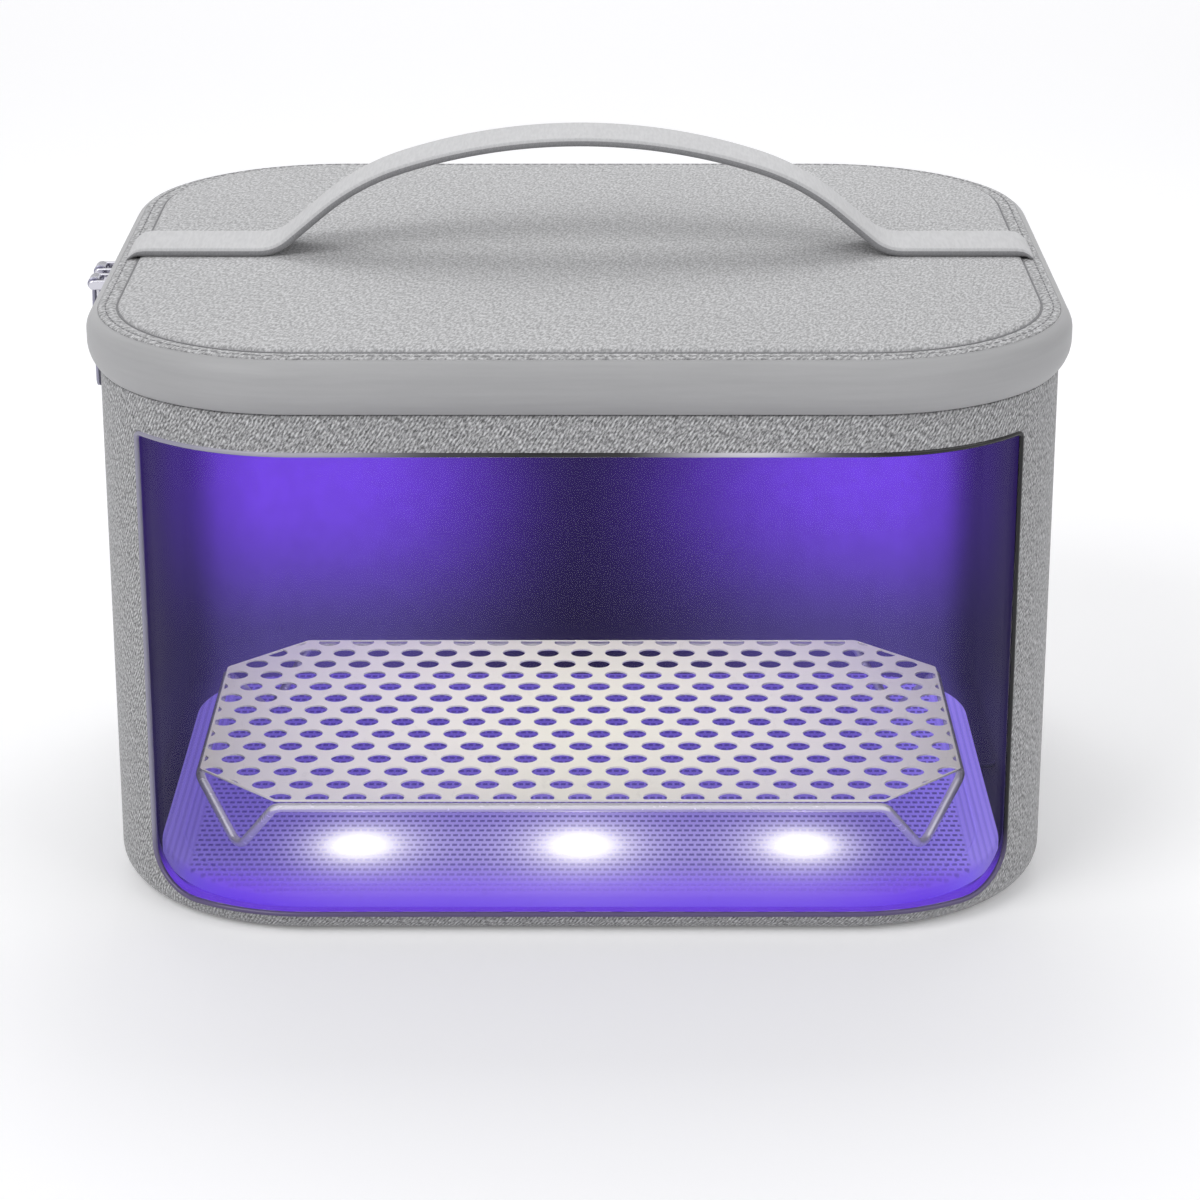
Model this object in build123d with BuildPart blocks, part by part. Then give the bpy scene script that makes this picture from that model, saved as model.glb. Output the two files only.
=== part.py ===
"""Portable disinfection bag: a zipped, fabric-covered case with a clear front and a lamp mat.

Frame: X runs across the bag, Y from the front to the back, Z up. The origin is the middle of
the flat underside. Sizes are millimetres. Unless a comment says otherwise, an inset is
measured inwards from the outside of the bag's upright walls.
"""

import os
from math import acos, atan2, cos, degrees, radians, sin, sqrt

from build123d import *

os.makedirs("parts", exist_ok=True)

# Bag outline
bag_width = 300.0
bag_depth = 256.0
bag_corner = 65.0
base_round = 9.0
wall = 6.0
floor = 4.0
lining = 1.0
seam_height = 170.2
seam_gap = 1.3
running_gap = 0.3
cut_margin = 10.0

# Window in the front wall
window_side_margin = 14.5
window_bottom = 6.5
window_top_margin = 11.05
window_low_corner = 15.0
window_top_corner = 2.5
pane_inset = 1.0
pane_thickness = 1.2
trim_width = 1.4
trim_proud = 0.3
trim_depth = 2.5

# Lid
lid_height = 16.75
lid_roof = 6.0
lid_board_thickness = 2.0
lid_edge_round = 0.5
border_width = 5.5
piping_width = 1.3
piping_height = 1.0
piping_round = 0.45
panel_thickness = 1.1
panel_round = 0.5

# Smooth band round the lid's edge
band_overhang = 3.8
band_lip = 0.3
band_low_bulge = 7.65
band_flat = 3.0
band_top_drop = 0.3

# Zip
zip_end_x = 80.0
lip = 1.0
groove_depth = 5.5
coil_width = 1.6
coil_height = 1.9
tape_thickness = 0.5
tape_height = 2.5
coil_retreat = 0.1
slider_length = 14.0
slider_height = 9.4
slider_plate = 1.5
slider_tilt = 20.0
slider_standoff = 2.1
slider_nose = 3.0
slider_corner = 1.2
slider_y = {"front": 20.0, "rear": 36.0}
neck_length = 8.0
inner_plate_gap = 0.8
inner_plate_thickness = 1.1
inner_plate_height = 7.4
bridge_leg = 1.6
bridge_root = 3.3
bridge_leg_height = 3.2
bridge_spacing = 9.2
bar_radius = 0.9
bar_x = 13.0
bar_rise = 1.8
eye_wall = 1.0
eye_width = 6.4
pull_length = 36.0
pull_width = 8.6
pull_thickness = 1.5
pull_end_radius = 3.6
pull_shoulder = 8.0

# Fabric hinge at the back
hinge_end_gap = 4.0
hinge_thickness = 1.2
hinge_lower_height = 24.0
hinge_upper_height = 13.6
fold_gap = 0.4

# Carrying strap
strap_width = 24.5
strap_thickness = 3.0
strap_edge = 0.9
strap_rise = 36.4
arch_radius = 190.0
arch_angle = 17.8
shoulder_radius = 77.0
shoulder_angle = 22.2
foot_radius = 15.0
strap_end_gap = 0.34
end_radius = 5.5
end_clearance = 0.05

# Floor mat and lamps
mat_side_gap = 6.0
mat_front_gap = 3.0
mat_back_gap = 45.0
mat_thickness = 5.0
mat_back_corner = 38.0
mat_round = 1.5
board_thickness = 1.6
led_board_width = 12.0
led_board_margin = 12.0
led_board_tail = 8.0
led_spacing = 72.0
led_inset = 38.0
led_hole_radius = 5.5
led_base_radius = 4.6
led_base_height = 1.6
led_lens_radius = 3.6
led_lens_rise = 0.8
led_names = ("left", "centre", "right")

# Perforated rack
rack_side_gap = 13.0
rack_front_gap = 23.3
rack_back_gap = 25.0
rack_chamfer = 26.5
rack_height = 22.0
rim_width = 0.7
plate_thickness = 1.0
wire_radius = 1.5
wire_bend = 4.0
foot_bend = 4.5
foot_clearance = 0.2
foot_passes = 12
hole_pitch = 12.0
row_pitch = 10.87
row_inset = 2.5
hole_radius = 3.7
hole_sides = 8
least_notch = 0.9

# Switch and socket unit in the right wall
unit_y = 10.0
unit_drop = 22.2
bezel_width = 66.0
bezel_height = 28.0
bezel_proud = 2.4
bezel_round = 1.2
bezel_skin = 2.0
boss_inset = 4.2
boss_wall = 1.8
boss_clearance = 0.2
housing_depth = 5.6
housing_inset = 0.5
housing_floor = 1.6
board_clearance = 0.5
screw_offset = 24.0
screw_boss_radius = 2.3
screw_radius = 1.0
screw_clearance = 0.2
thread_play = 0.02
screw_head_radius = 2.0
screw_head_height = 1.0
screw_length = 9.0
button_offset = -12.0
button_radius = 6.2
button_proud = 0.8
button_flange = 0.9
button_flange_thickness = 1.5
button_travel = 1.0
button_dish = 0.4
switch_side = 6.0
switch_height = 3.5
plunger_radius = 1.6
plunger_seat = 0.5
lens_offset = 1.5
lens_radius = 1.2
socket_offset = 13.0
socket_width = 8.94
socket_height = 3.16
socket_round = 1.5
socket_wall = 0.3
socket_depth = 6.2
socket_recess = 0.4
tongue_width = 6.7
tongue_thickness = 0.7
tongue_length = 4.5
reed_radius = 1.1
reed_length = 14.0
reed_offset = 4.0
magnet_length = 10.0
magnet_width = 3.0
magnet_height = 4.0

# Lead from the control board to the lamp board
lead_radius = 0.8
lead_bend = 5.0
lead_channel = 1.1
lead_wall_inset = 5.1
lead_y = -4.0
lead_rise = 1.3
lead_turn = 12.0

# Worked out from the sizes above
body_top = seam_height - seam_gap / 2
lid_bottom = seam_height + seam_gap / 2
lid_top = lid_bottom + lid_height
strap_seat = lid_top + panel_thickness
lining_floor = floor + lining
mat_top = lining_floor + mat_thickness
half_width = bag_width / 2
half_depth = bag_depth / 2
front_plane = Plane.XZ.offset(half_depth + cut_margin)
window_cut = -(bag_corner + cut_margin)
window_width = bag_width - 2 * window_side_margin
window_top = body_top - window_top_margin
mat_width = bag_width - 2 * (wall + lining + mat_side_gap)
mat_front = -(half_depth - wall - lining - mat_front_gap)
mat_back = half_depth - wall - lining - mat_back_gap
mat_front_corner = bag_corner - wall - lining - mat_side_gap
led_y = mat_front + led_inset
rack_width = mat_width - 2 * rack_side_gap
rack_front = mat_front + rack_front_gap
rack_back = mat_back - rack_back_gap
rack_top = mat_top + rack_height
wire_height = rack_top - plate_thickness - wire_radius
unit_height = seam_height - unit_drop
boss_width = bezel_width - 2 * boss_inset
boss_height = bezel_height - 2 * boss_inset
pocket_width = boss_width - 2 * boss_wall
pocket_height = boss_height - 2 * boss_wall
skin_inner = half_width + bezel_proud - bezel_skin
fold_y = half_depth + hinge_thickness
hinge_width = 2 * (zip_end_x - hinge_end_gap)


def bag_outline(inset=0.0, mode=Mode.ADD):
    """Plan of the bag's walls, moved in by an inset."""
    RectangleRounded(bag_width - 2 * inset, bag_depth - 2 * inset, bag_corner - inset, mode=mode)


def zip_strip(outer_inset, width):
    """Plan of a strip that follows the walls along the zip, and stops at the hinge."""
    bag_outline(outer_inset)
    bag_outline(outer_inset + width, mode=Mode.SUBTRACT)
    with Locations((0, half_depth)):
        Rectangle(2 * zip_end_x, 2 * cut_margin, mode=Mode.SUBTRACT)


def rounded_block(inset, low, high, low_round):
    """Solid block on the bag's plan, moved in by an inset, with its bottom edge rounded."""
    with BuildPart() as block:
        with BuildSketch(Plane.XY.offset(low)):
            bag_outline(inset)
        extrude(amount=high - low)
        fillet(block.faces().sort_by(Axis.Z)[0].edges(), low_round)
    return block.part


def window_sketch(inset):
    """Outline of the window seen from the front, moved in by an inset."""
    low_corner = window_low_corner - inset
    top_corner = window_top_corner - inset
    with BuildSketch(front_plane) as outline:
        with Locations((0, (window_bottom + window_top) / 2)):
            Rectangle(window_width - 2 * inset, window_top - window_bottom - 2 * inset)
        rows = outline.vertices().group_by(Axis.Y)
        fillet(rows[0], low_corner)
        fillet(rows[-1], top_corner)
    return outline.sketch


def unit_sketch(x, width, height):
    """Upright stadium of the switch unit, in the wall plane at x."""
    with BuildSketch(Plane.YZ.offset(x)) as outline:
        with Locations((unit_y, unit_height)):
            SlotOverall(width, height)
    return outline.sketch


def unit_plane(x, offset=0.0, rise=0.0):
    """Plane in the right wall at x, centred on a fitting of the switch unit."""
    return Plane(origin=(x, unit_y + offset, unit_height + rise), x_dir=(0, 1, 0), z_dir=(1, 0, 0))


opening = window_sketch(0)
clear_opening = window_sketch(trim_width)

# The lead drops inside the right wall, crosses under the mat and turns to the lamp board.
led_board_end = led_spacing + led_board_margin + led_board_tail
lead_x = half_width - lead_wall_inset
lead_z = lining_floor + lead_rise
lead_turn_x = led_board_end + lead_turn
lead_top = unit_height - pocket_height / 2 + boss_wall
lead_points = [
    (lead_x, lead_y, lead_top),
    (lead_x, lead_y, lead_z),
    (lead_turn_x, lead_y, lead_z),
    (lead_turn_x, led_y, lead_z),
    (led_board_end, led_y, lead_z),
]
with BuildLine() as lead_path:
    FilletPolyline(*lead_points, radius=lead_bend)
print("lead length", round(lead_path.wire().length, 1), "bend radius", lead_bend)


def lead_tube(radius):
    """Tube of a radius along the lead's route, for the lead or the channel it lies in."""
    with BuildPart() as tube:
        with BuildSketch(Plane(origin=lead_points[0], z_dir=(0, 0, -1))):
            Circle(radius)
        sweep(path=lead_path.wire())
    return tube.part


channel = lead_tube(lead_channel)

# Body shell: foam tub with the window, the unit's hole, the zip groove and the lead's channel
with BuildPart() as body_shell:
    add(rounded_block(0, 0, body_top, base_round))
    add(rounded_block(wall, floor, body_top, floor), mode=Mode.SUBTRACT)
    with BuildSketch(Plane.XY.offset(body_top - groove_depth)):
        zip_strip(lip, wall - 2 * lip)
    extrude(amount=groove_depth, mode=Mode.SUBTRACT)
    extrude(opening, amount=window_cut, mode=Mode.SUBTRACT)
    extrude(unit_sketch(half_width, boss_width + 2 * boss_clearance, boss_height + 2 * boss_clearance),
            amount=-wall, mode=Mode.SUBTRACT)
    add(channel, mode=Mode.SUBTRACT)
body_shell.part.label = "body_shell"
export_step(body_shell.part, "parts/body_shell.step")

# Lining: thin tub inside the shell
with BuildPart() as body_lining:
    add(rounded_block(wall, floor, body_top, floor))
    add(rounded_block(wall + lining, lining_floor, body_top, floor - lining), mode=Mode.SUBTRACT)
    extrude(opening, amount=window_cut, mode=Mode.SUBTRACT)
    extrude(unit_sketch(half_width, boss_width + 2 * boss_clearance, boss_height + 2 * boss_clearance),
            amount=-(wall + lining), mode=Mode.SUBTRACT)
    add(channel, mode=Mode.SUBTRACT)
body_lining.part.label = "body_lining"
export_step(body_lining.part, "parts/body_lining.step")

# Clear pane, curved round both front corners
with BuildPart() as window_pane:
    with BuildSketch(Plane.XY.offset(window_bottom)):
        bag_outline(pane_inset)
        bag_outline(pane_inset + pane_thickness, mode=Mode.SUBTRACT)
    extrude(amount=window_top - window_bottom)
    extrude(clear_opening, amount=window_cut, mode=Mode.INTERSECT)
window_pane.part.label = "window_pane"
export_step(window_pane.part, "parts/window_pane.step")

# Polished bead between the pane and the cut edge of the shell
with BuildPart() as window_trim:
    with BuildSketch(Plane.XY.offset(window_bottom - trim_width)):
        bag_outline(-trim_proud)
        bag_outline(trim_depth, mode=Mode.SUBTRACT)
    extrude(amount=window_top - window_bottom + 2 * trim_width)
    extrude(opening, amount=window_cut, mode=Mode.INTERSECT)
    extrude(clear_opening, amount=window_cut, mode=Mode.SUBTRACT)
window_trim.part.label = "window_trim"
export_step(window_trim.part, "parts/window_trim.step")

# Lid shell: shallow foam cap with a recess for its board and a groove for the zip
lid_ceiling = lid_top - lid_roof
board_top = lid_ceiling + lid_board_thickness
magnet_pocket = Plane.XY.offset(lid_bottom + groove_depth + lip)
with BuildPart() as lid_shell:
    with BuildSketch(Plane.XY.offset(lid_bottom)):
        bag_outline()
    extrude(amount=lid_height)
    fillet(lid_shell.faces().sort_by(Axis.Z)[-1].edges(), lid_edge_round)
    with BuildSketch(Plane.XY.offset(lid_bottom)):
        bag_outline(wall)
    extrude(amount=board_top - lid_bottom, mode=Mode.SUBTRACT)
    with BuildSketch(Plane.XY.offset(lid_bottom)):
        zip_strip(lip, wall - 2 * lip)
    extrude(amount=groove_depth, mode=Mode.SUBTRACT)
    with BuildSketch(magnet_pocket):
        with Locations((half_width - wall / 2, unit_y)):
            Rectangle(magnet_width, magnet_length)
    extrude(amount=magnet_height, mode=Mode.SUBTRACT)
lid_shell.part.label = "lid_shell"
export_step(lid_shell.part, "parts/lid_shell.step")

# Magnet that holds the reed switch closed while the lid is down
with BuildPart() as lid_magnet:
    with BuildSketch(magnet_pocket):
        with Locations((half_width - wall / 2, unit_y)):
            Rectangle(magnet_width, magnet_length)
    extrude(amount=magnet_height)
lid_magnet.part.label = "lid_magnet"
export_step(lid_magnet.part, "parts/lid_magnet.step")

# Stiff board that carries the strap
with BuildPart() as lid_board:
    with BuildSketch(Plane.XY.offset(lid_ceiling)):
        bag_outline(wall)
    extrude(amount=lid_board_thickness)
lid_board.part.label = "lid_board"
export_step(lid_board.part, "parts/lid_board.step")

# Lid lining: thin tray under the board
with BuildPart() as lid_lining:
    with BuildSketch(Plane.XY.offset(lid_bottom)):
        bag_outline(wall)
    extrude(amount=lid_ceiling - lid_bottom)
    with BuildSketch(Plane.XY.offset(lid_bottom)):
        bag_outline(wall + lining)
    extrude(amount=lid_ceiling - lid_bottom - lining, mode=Mode.SUBTRACT)
lid_lining.part.label = "lid_lining"
export_step(lid_lining.part, "parts/lid_lining.step")

# Dark piping in the seam loop
with BuildPart() as lid_piping:
    with BuildSketch(Plane.XY.offset(lid_top)):
        bag_outline(border_width)
        bag_outline(border_width + piping_width, mode=Mode.SUBTRACT)
    extrude(amount=piping_height)
    fillet(lid_piping.faces().sort_by(Axis.Z)[-1].edges(), piping_round)
lid_piping.part.label = "lid_piping"
export_step(lid_piping.part, "parts/lid_piping.step")

# Padded panel inside the seam loop
with BuildPart() as lid_top_panel:
    with BuildSketch(Plane.XY.offset(lid_top)):
        bag_outline(border_width + piping_width)
    extrude(amount=panel_thickness)
    fillet(lid_top_panel.faces().sort_by(Axis.Z)[-1].edges(), panel_round)
lid_top_panel.part.label = "lid_top_panel"
export_step(lid_top_panel.part, "parts/lid_top_panel.step")

# Smooth band: a bulging strip swept round the walls from one end of the zip to the other
band_corners = [
    (-zip_end_x, half_depth),
    (-half_width, half_depth),
    (-half_width, -half_depth),
    (half_width, -half_depth),
    (half_width, half_depth),
    (zip_end_x, half_depth),
]
with BuildLine() as band_path:
    FilletPolyline(*band_corners, radius=bag_corner)
band_flat_low = lid_bottom + band_low_bulge
band_flat_high = band_flat_low + band_flat
band_high = lid_top - band_top_drop
low_in = band_overhang - band_lip
low_radius = (band_low_bulge**2 + low_in**2) / (2 * low_in)
top_rise = band_high - band_flat_high
top_radius = (top_rise**2 + band_overhang**2) / (2 * band_overhang)
with BuildPart() as lid_band:
    with BuildSketch(Plane(origin=(-zip_end_x, half_depth, 0), x_dir=(0, 1, 0), z_dir=(1, 0, 0))):
        with BuildLine():
            Line((0, lid_bottom), (band_lip, lid_bottom))
            RadiusArc((band_lip, lid_bottom), (band_overhang, band_flat_low), -low_radius)
            Line((band_overhang, band_flat_low), (band_overhang, band_flat_high))
            RadiusArc((band_overhang, band_flat_high), (0, band_high), -top_radius)
            Line((0, band_high), (0, lid_bottom))
        make_face()
    sweep(path=band_path.wire())
lid_band.part.label = "lid_band"
export_step(lid_band.part, "parts/lid_band.step")

# Zip chains: a coil at the seam, carried by a tape behind each lip
with BuildPart() as zip_chain_lower:
    with BuildSketch(Plane.XY.offset(body_top - coil_retreat - coil_height)):
        zip_strip(lip, coil_width)
    extrude(amount=coil_height)
    with BuildSketch(Plane.XY.offset(body_top - coil_retreat - coil_height - tape_height)):
        zip_strip(lip, tape_thickness)
    extrude(amount=tape_height)
zip_chain_lower.part.label = "zip_chain_lower"
export_step(zip_chain_lower.part, "parts/zip_chain_lower.step")

with BuildPart() as zip_chain_upper:
    with BuildSketch(Plane.XY.offset(lid_bottom + coil_retreat)):
        zip_strip(lip, coil_width)
    extrude(amount=coil_height)
    with BuildSketch(Plane.XY.offset(lid_bottom + coil_retreat + coil_height)):
        zip_strip(lip, tape_thickness)
    extrude(amount=tape_height)
zip_chain_upper.part.label = "zip_chain_upper"
export_step(zip_chain_upper.part, "parts/zip_chain_upper.step")

# Sliders: an outer plate leaning over the band's underside, a thin neck through the seam, an
# inner plate behind the coils, and a bridge whose bar carries the pull
tilt = radians(slider_tilt)
outward = (-cos(tilt), 0, -sin(tilt))
inner_plate_x = -(half_width - lip - coil_width - inner_plate_gap)
bar_centre_x = -(half_width + bar_x)
bar_z = seam_height + bar_rise
eye_bore = bar_radius + running_gap
eye_radius = eye_bore + eye_wall

for side, y in slider_y.items():
    slider_plane = Plane(origin=(-half_width, y, seam_height), x_dir=(0, -1, 0), z_dir=outward)
    with BuildPart() as zip_slider:
        with BuildSketch(slider_plane.offset(slider_standoff)) as shield:
            Rectangle(slider_length, slider_height)
            chamfer(shield.vertices(), slider_nose, slider_corner)
        extrude(amount=slider_plate)
        with BuildSketch(Plane.XY.offset(seam_height - seam_gap / 2 + running_gap)):
            with Locations((inner_plate_x, y)):
                Rectangle(-inner_plate_x - half_width - slider_standoff - slider_plate, neck_length,
                          align=(Align.MAX, Align.CENTER))
        extrude(amount=seam_gap - 2 * running_gap)
        with Locations((inner_plate_x + inner_plate_thickness / 2, y, seam_height)):
            Box(inner_plate_thickness, slider_length - 2 * slider_corner, inner_plate_height)
        for leg in (-1, 1):
            leg_y = y + leg * bridge_spacing / 2
            with BuildSketch(Plane.XZ.offset(-leg_y - bridge_leg / 2)):
                with Locations((-(half_width + bridge_root), bar_z)):
                    SlotOverall(bar_x - bridge_root + bridge_leg_height / 2, bridge_leg_height,
                                align=(Align.MAX, Align.CENTER))
            extrude(amount=bridge_leg)
        with BuildSketch(Plane.XZ.offset(-y - bridge_spacing / 2)):
            with Locations((bar_centre_x, bar_z)):
                Circle(bar_radius)
        extrude(amount=bridge_spacing)
    name = "zip_slider_" + side
    zip_slider.part.label = name
    export_step(zip_slider.part, "parts/" + name + ".step")

    pull_origin = (bar_centre_x - pull_thickness / 2, y, bar_z)
    pull_plane = Plane(origin=pull_origin, x_dir=(0, -1, 0), z_dir=(-1, 0, 0))
    with BuildPart() as zip_pull:
        with BuildSketch(pull_plane.offset(-pull_thickness)) as blade:
            with BuildLine():
                shoulder = (pull_width / 2, -pull_shoulder)
                waist = (eye_width / 2, -eye_bore)
                tip = (pull_end_radius, -(pull_length - pull_end_radius))
                bend = pull_end_radius * sqrt(0.5)
                Polyline((0, -eye_bore), waist, shoulder, tip)
                ThreePointArc(tip, (bend, tip[1] - bend), (0, -pull_length))
                mirror(about=Plane.YZ)
            make_face()
        extrude(amount=pull_thickness)
        with BuildSketch(Plane.XZ.offset(-y - eye_width / 2)):
            with Locations((bar_centre_x, bar_z)):
                Circle(eye_radius)
        extrude(amount=eye_width)
        with BuildSketch(Plane.XZ.offset(-y - eye_width / 2)):
            with Locations((bar_centre_x, bar_z)):
                Circle(eye_bore)
        extrude(amount=eye_width, mode=Mode.SUBTRACT)
    name = "zip_pull_" + side
    zip_pull.part.label = name
    export_step(zip_pull.part, "parts/" + name + ".step")

# Fabric hinge: two leaves on the back wall that meet at the fold
with BuildPart() as hinge_leaf_lower:
    with BuildSketch(Plane.XZ.offset(-fold_y)):
        with Locations((0, seam_height - fold_gap / 2)):
            Rectangle(hinge_width, hinge_lower_height, align=(Align.CENTER, Align.MAX))
    extrude(amount=hinge_thickness)
hinge_leaf_lower.part.label = "hinge_leaf_lower"
export_step(hinge_leaf_lower.part, "parts/hinge_leaf_lower.step")

with BuildPart() as hinge_leaf_upper:
    with BuildSketch(Plane.XZ.offset(-fold_y)):
        with Locations((0, seam_height + fold_gap / 2)):
            Rectangle(hinge_width, hinge_upper_height, align=(Align.CENTER, Align.MIN))
    extrude(amount=hinge_thickness)
hinge_leaf_upper.part.label = "hinge_leaf_upper"
export_step(hinge_leaf_upper.part, "parts/hinge_leaf_upper.step")

# Carrying strap: half of it runs from the top of the arch down to the lid and over its edge
fall_angle = arch_angle + shoulder_angle
fall = radians(fall_angle)
arch = radians(arch_angle)
arch_drop = arch_radius * (1 - cos(arch))
shoulder_drop = shoulder_radius * (cos(arch) - cos(fall))
foot_drop = foot_radius * (1 - cos(fall))
slope_length = (strap_rise - arch_drop - shoulder_drop - foot_drop) / sin(fall)
arch_reach = arch_radius * sin(arch) + shoulder_radius * (sin(fall) - sin(arch))
foot_reach = slope_length * cos(fall) + foot_radius * sin(fall)
strap_flat = half_width - border_width - strap_end_gap - arch_reach - foot_reach
strap_middle = strap_seat + strap_thickness / 2
end_drop = panel_thickness - end_clearance
end_angle = degrees(acos(1 - end_drop / (end_radius - strap_thickness / 2)))
with BuildLine(Plane.XZ) as strap_path:
    crown = JernArc((0, strap_middle + strap_rise), (1, 0), arch_radius, -arch_angle)
    turn = JernArc(crown @ 1, crown % 1, shoulder_radius, -shoulder_angle)
    slope = PolarLine(turn @ 1, slope_length, direction=turn % 1)
    foot = JernArc(slope @ 1, slope % 1, foot_radius, fall_angle)
    seat = PolarLine(foot @ 1, strap_flat, direction=foot % 1)
    JernArc(seat @ 1, seat % 1, end_radius, -end_angle)
with BuildPart() as handle_strap:
    with BuildSketch(Plane(origin=(0, 0, strap_middle + strap_rise), x_dir=(0, 1, 0), z_dir=(1, 0, 0))):
        RectangleRounded(strap_width, strap_thickness, strap_edge)
    sweep(path=strap_path.wire())
    mirror(about=Plane.YZ)
handle_strap.part.label = "handle_strap"
export_step(handle_strap.part, "parts/handle_strap.step")

# Floor mat with a pocket under it for the lamp board and a hole for each lamp
led_x = [(index - 1) * led_spacing for index in range(len(led_names))]
board_middle = (led_board_end - led_spacing - led_board_margin) / 2
board_length = led_board_end + led_spacing + led_board_margin
with BuildPart() as floor_mat:
    with BuildSketch(Plane.XY.offset(lining_floor)) as mat_plan:
        with Locations((0, (mat_front + mat_back) / 2)):
            Rectangle(mat_width, mat_back - mat_front)
        mat_rows = mat_plan.vertices().group_by(Axis.Y)
        fillet(mat_rows[0], mat_front_corner)
        fillet(mat_rows[-1], mat_back_corner)
    extrude(amount=mat_thickness)
    fillet(floor_mat.faces().sort_by(Axis.Z)[-1].edges(), mat_round)
    with BuildSketch(Plane.XY.offset(lining_floor)):
        with Locations((board_middle, led_y)):
            Rectangle(board_length + 2 * running_gap, led_board_width + 2 * running_gap)
    extrude(amount=board_thickness + running_gap, mode=Mode.SUBTRACT)
    with BuildSketch(Plane.XY.offset(lining_floor)):
        with Locations(*[(x, led_y) for x in led_x]):
            Circle(led_hole_radius)
    extrude(amount=mat_thickness, mode=Mode.SUBTRACT)
    add(channel, mode=Mode.SUBTRACT)
floor_mat.part.label = "floor_mat"
export_step(floor_mat.part, "parts/floor_mat.step")

with BuildPart() as led_board:
    with BuildSketch(Plane.XY.offset(lining_floor)):
        with Locations((board_middle, led_y)):
            Rectangle(board_length, led_board_width)
    extrude(amount=board_thickness)
led_board.part.label = "led_board"
export_step(led_board.part, "parts/led_board.step")

# Lamps: a round base on the board under a domed quartz lens
led_base = lining_floor + board_thickness
led_top = mat_top + led_lens_rise
for side, x in zip(led_names, led_x):
    with BuildPart() as uv_led:
        with BuildSketch(Plane(origin=(x, led_y, 0), x_dir=(1, 0, 0), z_dir=(0, -1, 0))):
            with BuildLine():
                base_edge = (led_lens_radius, led_base + led_base_height)
                Polyline((0, led_top), (0, led_base), (led_base_radius, led_base),
                         (led_base_radius, led_base + led_base_height), base_edge)
                dome_height = led_top - led_base - led_base_height
                dome_radius = (dome_height**2 + led_lens_radius**2) / (2 * dome_height)
                RadiusArc(base_edge, (0, led_top), -dome_radius)
            make_face()
        revolve(axis=Axis((x, led_y, 0), (0, 0, 1)))
    name = "uv_led_" + side
    uv_led.part.label = name
    export_step(uv_led.part, "parts/" + name + ".step")

led_lead = lead_tube(lead_radius)
led_lead.label = "led_lead"
export_step(led_lead, "parts/led_lead.step")

# Rack frame: one closed loop of wire with a V-shaped foot under each chamfered corner. Each
# foot's corner point is lowered until its rounded bend just clears the mat.
side_x = rack_width / 2
front_x = side_x - rack_chamfer
foot_x = side_x - rack_chamfer / 2
foot_rise = wire_radius + foot_clearance
limb_run = rack_chamfer / sqrt(2)
foot_height = mat_top + foot_rise
for _ in range(foot_passes):
    limb_slope = atan2(wire_height - foot_height, limb_run)
    foot_height = mat_top + foot_rise - foot_bend * (1 / cos(limb_slope) - 1)
wire_points = [
    (0, rack_front, wire_height),
    (front_x, rack_front, wire_height),
    (foot_x, rack_front + rack_chamfer / 2, foot_height),
    (side_x, rack_front + rack_chamfer, wire_height),
    (side_x, rack_back - rack_chamfer, wire_height),
    (foot_x, rack_back - rack_chamfer / 2, foot_height),
    (front_x, rack_back, wire_height),
    (0, rack_back, wire_height),
]
with BuildLine() as wire_path:
    FilletPolyline(*wire_points, radius=[wire_bend, foot_bend, wire_bend] * 2)
with BuildPart() as rack_wire_frame:
    with BuildSketch(Plane(origin=wire_points[0], z_dir=(1, 0, 0))):
        Circle(wire_radius)
    sweep(path=wire_path.wire())
    mirror(about=Plane.YZ)
rack_wire_frame.part.label = "rack_wire_frame"
export_step(rack_wire_frame.part, "parts/rack_wire_frame.step")

# Rack plate: chamfered corners and staggered rows of holes that run out to a thin rim. A hole of
# which less than the least notch would be left inside the rim is missed out.
rack_depth = rack_back - rack_front
rack_middle = (rack_front + rack_back) / 2
rim_chamfer = rack_chamfer - rim_width * (2 - sqrt(2))
hole_reach = hole_radius - least_notch - rim_width
row_count = int((rack_depth - row_inset + hole_reach) / row_pitch) + 1
column_count = int(side_x / hole_pitch) + 1
corner_room = side_x + rack_depth / 2 - rack_chamfer + hole_reach * sqrt(2)
hole_centres = []
for row in range(row_count):
    hole_y = rack_front + row_inset + row * row_pitch
    shift = hole_pitch / 2 if row % 2 else 0.0
    for column in range(-column_count, column_count + 1):
        hole_x = column * hole_pitch + shift
        if abs(hole_x) > side_x + hole_reach:
            continue
        if abs(hole_x) + abs(hole_y - rack_middle) <= corner_room:
            hole_centres.append((hole_x, hole_y))
with BuildSketch() as rim:
    with Locations((0, rack_middle)):
        Rectangle(rack_width - 2 * rim_width, rack_depth - 2 * rim_width)
    chamfer(rim.vertices(), rim_chamfer)
with BuildSketch() as perforations:
    with Locations(*hole_centres):
        RegularPolygon(hole_radius, hole_sides, rotation=180 / hole_sides)
    add(rim.sketch, mode=Mode.INTERSECT)
with BuildPart() as rack_plate:
    with BuildSketch(Plane.XY.offset(rack_top - plate_thickness)) as plate_plan:
        with Locations((0, rack_middle)):
            Rectangle(rack_width, rack_depth)
        chamfer(plate_plan.vertices(), rack_chamfer)
        add(perforations.sketch, mode=Mode.SUBTRACT)
    extrude(amount=plate_thickness)
rack_plate.part.label = "rack_plate"
export_step(rack_plate.part, "parts/rack_plate.step")
print("rack holes", len(hole_centres))

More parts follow.
